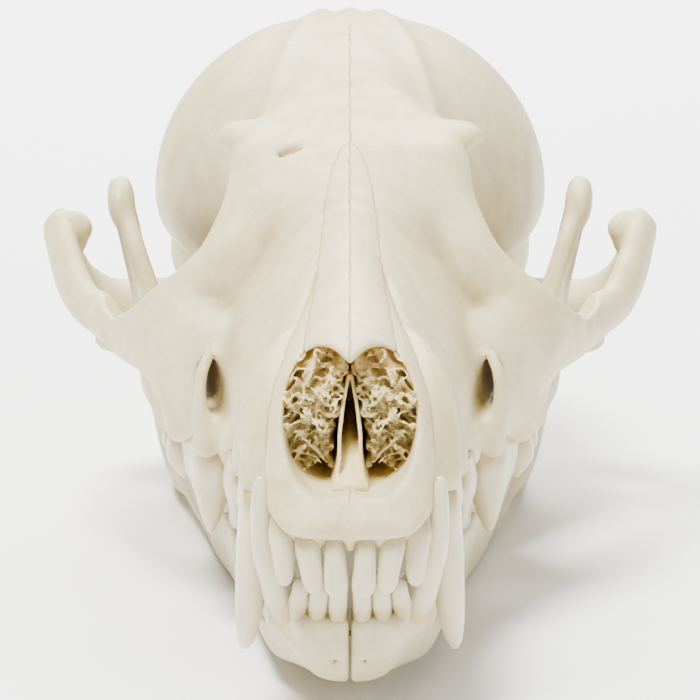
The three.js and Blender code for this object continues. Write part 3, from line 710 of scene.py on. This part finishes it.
def make_piece(name, points, faces, material, nodes, most_faces=None):
    """A piece of the skull from points in the skull's frame, in place of its plain solids."""
    mesh = bpy.data.meshes.new(name)
    mesh.vertices.add(len(points))
    mesh.vertices.foreach_set("co", ((points + TO_PART) * MM).ravel().astype(np.float32))
    mesh.loops.add(faces.size)
    mesh.loops.foreach_set("vertex_index", faces.ravel().astype(np.int32))
    mesh.polygons.add(len(faces))
    mesh.polygons.foreach_set("loop_start", np.arange(0, faces.size, 4, dtype=np.int32))
    mesh.update(calc_edges=True)
    mesh.validate()
    piece = bpy.data.objects.new(name, mesh)
    bpy.context.scene.collection.objects.link(piece)
    if most_faces and len(faces) * 2 > most_faces:
        thin = piece.modifiers.new("thin", "DECIMATE")
        thin.ratio = most_faces / (len(faces) * 2)
        made = bpy.data.meshes.new_from_object(piece.evaluated_get(bpy.context.evaluated_depsgraph_get()))
        piece.modifiers.remove(thin)
        piece.data = made
        made.name = name
        mesh = made
    mesh.polygons.foreach_set("use_smooth", [True] * len(mesh.polygons))
    mesh.materials.clear()
    mesh.materials.append(material)
    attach(piece, "root")
    if nodes:
        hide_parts(*nodes)
    return piece


def blurred(field, reach):
    """A field averaged over a distance, given in grid steps."""
    field = np.clip(field, -4, 4).astype(np.float32)
    for axis in range(3):
        for _ in range(2):
            before, after = np.take(field, [0] * (reach + 1), axis), np.take(field, [-1] * reach, axis)
            sums = np.cumsum(np.concatenate([before, field, after], axis), axis, dtype=np.float64)
            width = 2 * reach + 1
            high = np.take(sums, range(width, sums.shape[axis]), axis)
            low = np.take(sums, range(0, sums.shape[axis] - width), axis)
            field = ((high - low) / width).astype(np.float32)
    return field


def vertex_places(piece):
    """The piece's points in the skull's frame."""
    places = np.empty(len(piece.data.vertices) * 3, np.float32)
    piece.data.vertices.foreach_get("co", places)
    return places.reshape(-1, 3) / MM - TO_PART


def mark(piece, name, values):
    """A number for each point, which a material can read."""
    layer = piece.data.attributes.new(name, "FLOAT", "POINT")
    layer.data.foreach_set("value", np.asarray(values, np.float32))


def mark_hollow_shade(piece, field, low, step, scales):
    """Each point's share of painted hollow shade: 1 deep in a pit, 0 on a flat or a ridge."""
    soft = sum(blurred(field, max(1, round(reach / step))) / depth for reach, depth in scales)
    places = vertex_places(piece)
    index = (places - low) / step
    cell = np.clip(np.floor(index).astype(int), 0, np.array(field.shape) - 2)
    part = index - cell
    value = np.zeros(len(places))
    for i in (0, 1):
        for j in (0, 1):
            for k in (0, 1):
                weight = np.ones(len(places))
                for axis, at in enumerate((i, j, k)):
                    weight *= part[:, axis] if at else 1 - part[:, axis]
                value += weight * soft[cell[:, 0] + i, cell[:, 1] + j, cell[:, 2] + k]
    mark(piece, "hollow_shade", np.clip(-value, 0, 1))


# Teeth
# Each is one tooth of smooth enamel, held by its root in the jaw's bone. A row of a cusp is a
# height above the gum, how far it stands forward of and outside the tooth's place, and its half
# length and half width there.
ROW_DROP = np.tan(np.radians(4.5))
BITE = 10.4
LOWER_ROW_DROP = 0.045
UPPER, LOWER = -1, 1


def blade(long, wide, high, root=2.4):
    """A cutting tooth with one pointed cusp."""
    return [
        (-root, 0, 0, long * 0.4, wide * 0.36),
        (0, 0, 0, long * 0.47, wide * 0.46),
        (high * 0.22, 0, 0, long * 0.5, wide * 0.5),
        (high * 0.62, 0.02 * long, 0, long * 0.23, wide * 0.34),
        (high * 0.92, 0.03 * long, 0, long * 0.08, wide * 0.16),
        (high, 0.03 * long, 0, long * 0.03, wide * 0.07),
    ]


def knob(forward, outward, long, wide, high, root=2):
    """A round cusp of a grinding tooth."""
    return [
        (-root, forward, outward, long * 0.8, wide * 0.8),
        (high * 0.4, forward, outward, long, wide),
        (high, forward, outward, long * 0.3, wide * 0.3),
    ]


def nipper(neck, shoulder, edge, thick, high, rake, lean=0):
    """A nipping tooth by its widths at the gum, above it and near its edge."""
    return [
        (-3, -1.4, -0.7, thick * 0.4, neck * 0.4),
        (-0.3, -0.1, 0, thick * 0.46, neck * 0.5),
        (high * 0.22, rake * 0.35, lean * 0.1, thick * 0.52, shoulder * 0.5),
        (high * 0.5, rake * 0.75, lean * 0.4, thick * 0.44, (shoulder + edge) * 0.25),
        (high * 0.78, rake, lean * 0.8, thick * 0.3, edge * 0.5),
        (high * 0.93, rake, lean, thick * 0.18, edge * 0.38),
        (high, rake * 0.97, lean, thick * 0.08, edge * 0.16),
    ]


UPPER_TEETH = {
    "incisor_1": ((1.75, 2.6, 0.2), 0, [nipper(1.9, 2.3, 2.7, 2.9, 6.5, 1.9, -0.3)]),
    "incisor_2": ((4.75, 3.2, 0.6), 10, [nipper(2.1, 3.0, 2.4, 3.1, 6.6, 2.0, -0.45)]),
    "incisor_3": ((7.65, 4.6, 1.5), 18, [nipper(2.1, 2.9, 2.1, 3.0, 7.1, 1.5, 0)]),
    "canine": (
        (10.3, 13.6, 2.2),
        8,
        [
            [
                (-4.6, -2.6, -1.8, 2.0, 1.2),
                (0, 0, 0, 3.1, 1.9),
                (4, 0.6, 0.4, 2.9, 1.95),
                (9, 0.8, 0.8, 2.4, 1.8),
                (14, 0.1, 1.1, 1.7, 1.45),
                (17, -0.8, 1.3, 0.95, 0.9),
                (18.1, -1.2, 1.35, 0.35, 0.38),
            ]
        ],
    ),
    "premolar_1": ((10.6, 19.6, 0.6), 4, [blade(4.2, 2.4, 3.8)]),
    "premolar_2": ((11.4, 26.6, 0.4), 5, [blade(8.2, 3.0, 5.6)]),
    "premolar_3": ((13.1, 36.4, 0.2), 8, [blade(9.0, 3.2, 6.2)]),
    "premolar_4": (
        (16.4, 48.0, 0),
        20,
        [
            [
                (-2.4, 1.4, 0.5, 4.2, 1.7),
                (0, 1.4, 0.6, 4.7, 2.2),
                (2, 1.6, 0.6, 4.4, 2.2),
                (6, 1.7, 0.6, 2.1, 1.5),
                (8.8, 1.3, 0.6, 0.7, 0.6),
                (9.4, 1.2, 0.6, 0.25, 0.25),
            ],
            [
                (-2.2, -3.6, 0.3, 2.7, 1.5),
                (0.2, -3.6, 0.3, 3.2, 1.9),
                (3, -3.7, 0.3, 3.0, 1.5),
                (5.6, -3.6, 0.3, 2.3, 0.5),
            ],
            knob(4.2, -2.4, 1.6, 1.7, 2.8),
            knob(2.4, 1.5, 1.9, 1.3, 2.6),
        ],
    ),
    "molar_1": (
        (18.0, 59.6, 0),
        14,
        [knob(2.2, 2.3, 2.4, 2.4, 4.6), knob(-2.2, 2.1, 2.3, 2.2, 3.6), knob(0, -2.0, 3.2, 3.4, 2.4)],
    ),
    "molar_2": (
        (17.6, 66.6, 0.4),
        12,
        [knob(1.0, 1.7, 1.7, 1.8, 2.8), knob(-0.9, 1.2, 1.5, 1.7, 2.2), knob(0, -1.6, 2.0, 2.4, 1.6)],
    ),
}
LOWER_TEETH = {
    "incisor_1": ((1.35, 4.9, 1.0), 0, [nipper(1.9, 2.1, 2.1, 2.4, 3.9, 1.5, -0.1)]),
    "incisor_2": ((3.6, 5.4, 1.0), 10, [nipper(1.9, 2.2, 2.1, 2.5, 4.2, 1.5)]),
    "incisor_3": ((5.75, 6.0, 1.2), 14, [nipper(1.9, 2.3, 1.8, 2.4, 4.0, 1.4)]),
    "canine": (
        (7.1, 9.7, 0.1),
        6,
        [
            [
                (-4.5, -2.4, -2.0, 2.2, 1.2),
                (0, 0, 0.1, 2.9, 2.0),
                (4, 1.2, 1.4, 2.3, 1.75),
                (8, 2.3, 2.5, 1.8, 1.5),
                (12, 3.0, 2.9, 1.35, 1.25),
                (15, 3.2, 3.1, 0.9, 0.85),
                (16.4, 3.2, 3.15, 0.35, 0.38),
            ]
        ],
    ),
    "premolar_1": ((8.4, 17.0, 0), 4, [blade(3.2, 2.1, 2.8, 2)]),
    "premolar_2": ((9.0, 22.9, 0), 6, [blade(7.0, 2.6, 4.6)]),
    "premolar_3": ((9.8, 31.4, 0), 6, [blade(8.0, 2.8, 5.2)]),
    "premolar_4": ((10.8, 40.4, 0), 8, [blade(8.4, 3.2, 5.8)]),
    "molar_1": (
        (12.5, 52.0, -0.2),
        10,
        [
            [
                (-2.6, 1.6, 0, 4.6, 1.6),
                (0, 1.6, 0, 5.2, 2.1),
                (2.2, 1.7, 0, 5.0, 2.1),
                (5.6, 1.4, 0, 2.8, 1.4),
                (8.4, 0.6, 0, 0.8, 0.6),
            ],
            knob(-4.8, 0, 2.4, 2.2, 3.2),
        ],
    ),
    "molar_2": ((14.2, 63.6, 0.1), 12, [knob(0, 0, 3.2, 2.3, 2.6)]),
    "molar_3": ((15.3, 69.2, 0.3), 12, [knob(0, 0, 1.5, 1.4, 1.4, 1.6)]),
}


TOOTH_SQUARENESS = 2.2  # 2 is a true oval


class Cusp(Form):
    """A cusp as a field over (forward, outward, height above the gum)."""

    def __init__(self, rows):
        table = np.array(rows, float)
        shape = through(table)
        root, tip = table[0, 0], table[-1, 0]

        def far(forward, outward, height):
            f, o, long, wide = (c[None, None, :] for c in shape(height.ravel()).T)
            side = oval((forward - f) / long, (outward - o) / wide, long, wide, TOOTH_SQUARENESS)
            return np.maximum(side, np.maximum(root - height, height - tip))

        reach = table[:, 3:].max()
        low = (table[:, 1].min() - reach, table[:, 2].min() - reach, root)
        high = (table[:, 1].max() + reach, table[:, 2].max() + reach, tip)
        super().__init__(low, high, far)


def socket_height(y, jaw):
    return -ROW_DROP * y if jaw == UPPER else -BITE - LOWER_ROW_DROP * y


TOOTH_STEP = 0.2


def tooth_surface(cusps):
    forms = [Cusp(rows) for rows in cusps]
    low = np.min([form.low for form in forms], axis=0) - 1
    high = np.max([form.high for form in forms], axis=0) + 1
    block = Block(low, high, TOOTH_STEP)
    for form in forms:
        block.join(form, 0.5, margin=20)
    points, faces = surface(block.far, block.low, TOOTH_STEP)
    return relax(points, faces, 2), faces


def set_in_jaw(points, place, turn, jaw):
    """Points of a tooth, given forward, outward and up from its gum, in the skull's frame."""
    x, y, lift = place
    forward, outward, height = points.T
    yaw = np.radians(turn)
    return np.column_stack(
        [
            x + outward * np.cos(yaw) - forward * np.sin(yaw),
            y - outward * np.sin(yaw) - forward * np.cos(yaw),
            socket_height(y, jaw) + lift + jaw * height,
        ]
    )


ENAMEL_COLOUR = "#D6CBA8"
ENAMEL_NECK_STAIN_AND_SHADE = "#B39A60"
FIRST_CHEEK_TOOTH = 15  # every tooth behind this far back grinds or cuts
# Painted shade on the cheek teeth, given as a least share of the neck's colour
CHEEK_TOOTH_SHADE = 0.35
NECK_STAIN, NECK_STAIN_HEIGHT = 0.8, 1.8


def enamel_material():
    """Tooth enamel: translucent ivory white, polished, yellower towards the gum, with painted shade
    darkening the cheek teeth.
    """
    material = bpy.data.materials.new("tooth_enamel")
    material.use_nodes = True
    tree = material.node_tree
    shader = tree.nodes["Principled BSDF"]
    position = add(tree, "ShaderNodeTexCoord").outputs["Object"]
    # The neck mark holds the real stain near the gum and the painted shade on the cheek teeth
    neck = add(tree, "ShaderNodeAttribute", {"attribute_name": "neck"})
    cloud = add(tree, "ShaderNodeTexNoise", i0=position, Scale=per_metre(2.0), Detail=3.0)
    amount = sum_of(tree, "MULTIPLY_ADD", cloud.outputs[0], 0.5, -0.25)
    tone = sum_of(tree, "ADD", neck.outputs["Fac"], amount, clamp=True)
    colour = mixed(tree, tone, linear(ENAMEL_COLOUR), linear(ENAMEL_NECK_STAIN_AND_SHADE))
    tree.links.new(colour, shader.inputs["Base Color"])
    ripple = add(tree, "ShaderNodeTexNoise", i0=position, Scale=per_metre(0.9), Detail=2.0)
    bump = add(tree, "ShaderNodeBump", Strength=0.12, Distance=0.08 * MM, Height=ripple.outputs[0])
    tree.links.new(bump.outputs[0], shader.inputs["Normal"])
    shader.inputs["Roughness"].default_value = 0.24
    shader.inputs["IOR"].default_value = 1.62
    shader.inputs["Subsurface Weight"].default_value = 0.25
    shader.inputs["Subsurface Radius"].default_value = (1.0, 0.8, 0.55)
    shader.inputs["Subsurface Scale"].default_value = 1.0 * MM
    return material


enamel = enamel_material()
for jaw, jaw_name, teeth in ((UPPER, "upper", UPPER_TEETH), (LOWER, "lower", LOWER_TEETH)):
    for tooth_name, (place, turn, cusps) in teeth.items():
        points, faces = tooth_surface(cusps)
        neck = np.clip(1 - points[:, 2] / NECK_STAIN_HEIGHT, 0, 1) * NECK_STAIN
        # Painted shade: the cheek teeth further back are darkened as a whole
        if place[1] > FIRST_CHEEK_TOOTH:
            neck = np.maximum(neck, CHEEK_TOOTH_SHADE)
        placed = set_in_jaw(points, place, turn, jaw)
        if jaw == LOWER:
            faces = faces[:, ::-1]
        for side_name, side in (("left", 1), ("right", -1)):
            node = f"{jaw_name}_{tooth_name}_{side_name}"
            skin = placed * (side, 1, 1)
            piece = make_piece(
                f"{node}_enamel", skin, faces if side < 0 else faces[:, ::-1], enamel, [node]
            )
            mark(piece, "neck", neck)


# The skull's skin, made once the teeth are known, with a dent on one side of the forehead
FOREHEAD_DENT = [(-8.2, 61.0, 29.2, 0.4, 0.4), (-6.2, 62.0, 29.9, 0.4, 0.4)]
SKULL_HOLLOW_SHADE = ((1.6, 0.9), (5.0, 3.0))  # how far round a place is looked for the painted hollow shade, and what counts as deep
MOST_SKULL_FACES = 190000
LINING_REACH = 0.6  # how far the nose's stain goes past its walls
LINING_START = 8.5
skull_low = skull.low - (BONE_STEP * (skull.far.shape[0] - 1), 0, 0)
whole = Block(skull_low, skull.low + BONE_STEP * (np.array(skull.far.shape) - 1), BONE_STEP)
whole.far = softened(mirrored(skull.far))
whole.cut(bar(FOREHEAD_DENT), 0.9)
points, faces = surface(whole.far, skull_low, BONE_STEP)
points = relax(points, faces, 2)
cranium = make_piece(
    "cranium_bone", points, faces, skull_bone, ["cranium"], MOST_SKULL_FACES
)
# Painted shade in the skull's hollows, read by its material
mark_hollow_shade(cranium, whole.far, skull_low, BONE_STEP, SKULL_HOLLOW_SHADE)
x, y, z = vertex_places(cranium).T
inside = np.minimum(*(form.far(np.abs(x), y, z) for form in NOSE_HOLES))
lining = np.clip((LINING_REACH - inside) / LINING_REACH, 0, 1) * np.clip((y - LINING_START) / 3, 0, 1)
mark(cranium, "nose", lining)


# The lower jaw
# Two bones that meet at the chin and lie with their knuckles in the skull's hinges. A row is a place
# along y, its top and bottom, the bone's middle at the top and at the bottom, and its half thickness.
JAW = [
    (4.6, -10.8, -14.6, 2.2, -0.2, 3.8),
    (6.2, -10.2, -16.9, 2.6, -0.6, 4.5),
    (9, -10.3, -19.0, 3.2, -1.0, 5.2),
    (13, -10.9, -20.0, 4.4, -0.4, 5.0),
    (18, -11.3, -20.6, 6.2, 2.4, 4.2),
    (24, -11.6, -21.3, 8.0, 6.2, 3.1),
    (32, -12.0, -22.1, 9.4, 7.4, 3.0),
    (42, -12.5, -23.2, 10.9, 8.6, 3.0),
    (52, -12.9, -24.1, 12.5, 9.8, 3.0),
    (60, -13.3, -24.6, 14.0, 11.2, 3.0),
    (67.5, -13.6, -24.6, 15.8, 13.2, 2.8),
    (71.5, -11.0, -24.4, 17.4, 14.4, 2.5),
    (75, -4.4, -24.0, 20.0, 15.6, 2.1),
    (79, 5.0, -23.4, 23.6, 17.0, 1.7),
    (83, 12.8, -22.7, 26.6, 18.4, 1.5),
    (87, 17.6, -22.0, 28.4, 19.6, 1.4),
    (90.5, 19.4, -21.5, 29.3, 20.6, 1.4),
    (93.5, 18.4, -21.2, 29.0, 21.4, 1.4),
    (95.5, 13.0, -21.0, 28.2, 21.8, 1.4),
    (97, 3.6, -20.8, 26.8, 22.2, 1.5),
    (99, -3.4, -20.6, 25.6, 22.4, 1.7),
    (102.5, -5.4, -19.6, 25.2, 22.4, 1.7),
]
JAW_KNUCKLE = [
    (20.6, 103.9, -4.3, 1.9, 1.9),
    (23.5, 103.7, -4.3, 2.5, 2.5),
    (28, 103.4, -4.3, 2.5, 2.5),
    (31.4, 103.2, -4.3, 1.7, 1.8),
]
JAW_ANGLE = [
    (20.8, 94, -19.8, 3.2, 1.6),
    (21.8, 100, -20.8, 2.9, 1.6),
    (22.0, 105, -22.4, 2.2, 1.4),
    (21.8, 108.6, -23.3, 1.3, 1.1),
]
HINGE_NECK = [(25.2, 99, -8, 4.4, 1.7), (25.6, 103.2, -6.2, 3.0, 2.0)]
MUSCLE_HOLLOW = egg((27.6, 84, -7), (3.4, 8, 9))
INCISOR_ROOTS = ((1.35, 5.0, -10.9), (3.5, 5.5, -10.8), (5.5, 6.4, -10.6))
CANINE_ROOT = [(7.0, 9.9, -11.6, 2.0, 2.4), (4.8, 11.4, -14.4, 2.0, 1.8)]
BLADE_TOP = egg((28.8, 90.0, 17.0), (1.6, 4.2, 3.0))
JAW_HOLES = ((1.6, 6.2, -15.4), (9.6, 24.0, -16.2), (10.8, 31.5, -16.6))
JAW_HOLE_SIZE = (0.5, 1.8, 0.42)
JAW_SQUARENESS = 4.0
# How far round a place is looked for the painted hollow shade on the jaw, and what counts as deep
JAW_HOLLOW_SHADE = ((1.2, 0.8),)
MOST_JAW_FACES = 150000
CHIN_GAP = 0.15  # half of the seam between the two bones


def jaw_plate():
    shape = through(JAW)
    table = np.array(JAW, float)

    def far(x, y, z):
        top, bottom, upper, lower, half = (
            column[None, :, None].astype(np.float32) for column in shape(y.ravel()).T
        )
        share = np.clip((z - bottom) / (top - bottom), 0, 1)
        middle, tall = (top + bottom) / 2, (top - bottom) / 2
        lean = lower + (upper - lower) * share
        ends = np.maximum(table[0, 0] - y, y - table[-1, 0])
        return np.maximum(oval((x - lean) / half, (z - middle) / tall, half, tall, JAW_SQUARENESS), ends)

    return Form((-5, table[0, 0], table[:, 2].min()), (32, table[-1, 0], table[:, 1].max()), far)


jaw_field = Block((-1.5, 2, -26.5), (34, 112, 21.5), BONE_STEP)
for form, blend in (
    (jaw_plate(), 0.5),
    (bar(JAW_KNUCKLE), 1.2),
    (bar(HINGE_NECK), 1.5),
    (bar(JAW_ANGLE), 1.5),
):
    jaw_field.join(form, blend)
jaw_field.cut(MUSCLE_HOLLOW, 2.0)
for x, y, z in INCISOR_ROOTS:
    jaw_field.join(bar([(x, y, z, 1.1, 1.0), (x * 0.85, y + 0.1, z - 3.4, 0.8, 0.8)]), 0.7)
jaw_field.join(bar(CANINE_ROOT), 1.2)
jaw_field.join(BLADE_TOP, 1.2)
for place in JAW_HOLES:
    jaw_field.cut(egg(place, JAW_HOLE_SIZE), 0.3)
slices, (x, y, z) = jaw_field.part(jaw_field.low, jaw_field.low + 1e3)
flats = np.maximum(CHIN_GAP - x, TABLE - z) + 0 * y
jaw_field.far = np.maximum(softened(jaw_field.far), flats).astype(np.float32)
points, faces = surface(jaw_field.far, jaw_field.low, BONE_STEP)
points = relax(points, faces, 2)
for side_name, side in (("left", 1), ("right", -1)):
    jaw_piece = make_piece(
        f"mandible_{side_name}_bone",
        points * (side, 1, 1),
        faces if side > 0 else faces[:, ::-1],
        jaw_bone,
        [f"mandible_{side_name}"],
        MOST_JAW_FACES,
    )
    low = jaw_field.low
    if side < 0:
        low = low * (-1, 1, 1) - (BONE_STEP * (jaw_field.far.shape[0] - 1), 0, 0)
    # Painted shade in the jaw's hollows
    mark_hollow_shade(jaw_piece, jaw_field.far[::side], low, BONE_STEP, JAW_HOLLOW_SHADE)


# Inside the nose
# Thin scrolls of bone like lace fill each half of the nose, golden where dried skin is left on
# them, on both sides of a pale upright trough.
LACE_STEP = 0.2
LACE_WALL = 0.24
LACE_FRONT = 10.8
LACE_BACKING = 12.6  # where the lace closes, along y
LACE_TOP = 14.0  # above this height the lace lies further back
LACE_END = 26
LACE_SHADE = (9, 17)  # from where to where along y the lace turns browner
OUTER_CELL, INNER_CELL = 2.1, 1.25
MOST_LACE_FACES = 150000
LACE_COLOUR = "#E2D296"
LACE_STAIN_AND_DEEP_SHADE = "#C2A052"


def froth(x, y, z, cell):
    """How far a place is from thin sheets that fold round cells, longest along y and least along z."""
    bend = 0.5 * np.sin(0.9 * z + 0.35 * y) + 0.4 * np.sin(1.3 * y + 0.8 * x)
    u = (x + bend) * 2 * np.pi / (1.6 * cell)
    v = (z + 0.5 * np.sin(1.1 * x + 0.5 * y) + 0.25 * np.sin(2.9 * x)) * 2 * np.pi / cell
    w = y * 2 * np.pi / (3.0 * cell)
    wave = np.sin(u) * np.cos(v) + np.sin(v) * np.cos(w) + np.sin(w) * np.cos(u)
    return np.abs(wave) * cell / (2 * np.pi)


nose = Block((0, 5, 2), (9, 30, 20.5), LACE_STEP)
slices, (x, y, z) = nose.part(nose.low, nose.low + 1e3)
cavity = np.minimum(*(form.far(x, y, z) for form in NOSE_HOLES))
ragged = np.sin(1.7 * z) * np.cos(1.9 * x) + 0.5 * np.sin(4.7 * z + 2.0 * x) * np.sin(4.1 * x)
setback = 0.7 * np.maximum(z - LACE_TOP, 0)
front = LACE_FRONT + 1.0 * ragged + 0.2 * np.abs(z - 11) + setback - 0.3 * x + 0 * y
trough_room = 0.3 + 1.7 * np.clip((16 - z) / 7, 0, 1) + 0.3 * np.sin(3.1 * z) - x + 0 * y
corner = 5.6 + 0.5 * np.sin(2.3 * x) - z + 0 * y
filled = np.maximum(np.maximum(cavity - 0.35, front - y), np.maximum(trough_room, y - LACE_END))
filled = np.maximum(filled, corner)
coarse = np.clip((x - 3.4 + 0.2 * (z - 10)) / 2, 0, 1)
sheets = froth(x, y, z, OUTER_CELL) * coarse + froth(x, y, z, INNER_CELL) * (1 - coarse)
back = LACE_BACKING + setback + 0.9 * np.sin(2.1 * x + 1.3 * z) - y
nose.far = np.maximum(np.minimum(sheets - LACE_WALL / 2, back), filled).astype(np.float32)
nose_low = nose.low - (LACE_STEP * (nose.far.shape[0] - 1), 0, 0)
points, faces = surface(mirrored(nose.far), nose_low, LACE_STEP)


def lace_material():
    """Thin dried bone with a film of old skin: golden with blotches of browner stain, and browner where it
    lies deep by painted shade.
    """
    material = bpy.data.materials.new("nose_lace_bone")
    material.use_nodes = True
    tree = material.node_tree
    shader = tree.nodes["Principled BSDF"]
    position = add(tree, "ShaderNodeTexCoord").outputs["Object"]
    parts = add(tree, "ShaderNodeSeparateXYZ", i0=position)
    front, back = ((y + TO_PART[1]) * MM for y in LACE_SHADE)
    # Painted shade: the lace turns browner further back inside the nose
    depth = add(tree, "ShaderNodeMapRange", Value=parts.outputs[1], i1=front, i2=back, i3=0.0, i4=1.0)
    blotch = add(tree, "ShaderNodeTexNoise", i0=position, Scale=per_metre(1.2), Detail=3.0)
    shift = sum_of(tree, "MULTIPLY_ADD", blotch.outputs[0], 0.9, -0.45)
    tone = sum_of(tree, "ADD", depth.outputs[0], shift, clamp=True)
    colour = mixed(tree, tone, linear(LACE_COLOUR), linear(LACE_STAIN_AND_DEEP_SHADE))
    tree.links.new(colour, shader.inputs["Base Color"])
    shader.inputs["Roughness"].default_value = 0.5
    shader.inputs["Subsurface Weight"].default_value = 0.3
    shader.inputs["Subsurface Scale"].default_value = 0.6 * MM
    return material


lace_bone = lace_material()
make_piece("nose_lace", points, faces, lace_bone, [], MOST_LACE_FACES)

# The trough's walls lean together as they rise: their distance from the middle and their front edge
TROUGH_WALL = 0.4
TROUGH_BOTTOM, TROUGH_TOP, TROUGH_END = 4.0, 15.3, 28
TROUGH_LEAN = ([4.2, 5.2, 6.8, 9.5, 12.5, 15.2], [1.9, 1.55, 1.2, 1.15, 0.75, 0.15])
TROUGH_LIP = ([4.2, 5.5, 9.5, 15.2], [6.0, 6.6, 8.8, 13.0])
trough = Block((0, 3, 2), (4, 30, 18), LACE_STEP)
slices, (x, y, z) = trough.part(trough.low, trough.low + 1e3)
lean, lip = np.interp(z, *TROUGH_LEAN), np.interp(z, *TROUGH_LIP)
wall = np.maximum(np.abs(x - lean) - TROUGH_WALL / 2, np.maximum(lip - y, y - TROUGH_END))
trough.far = np.maximum(wall, np.maximum(TROUGH_BOTTOM - z, z - TROUGH_TOP)).astype(np.float32)
TROUGH_FLOOR = [(0, 6.0, 4.4, 1.0, 1.7), (0, 9, 5.2, 1.2, 1.2), (0, 13, 6.8, 1.2, 0.9), (0, 26, 9.6, 1, 0.5)]
trough.join(bar(TROUGH_FLOOR), 0.6)
trough_low = trough.low - (LACE_STEP * (trough.far.shape[0] - 1), 0, 0)
points, faces = surface(mirrored(trough.far), trough_low, LACE_STEP)
make_piece("nose_trough", relax(points, faces, 1), faces, lace_bone, [])
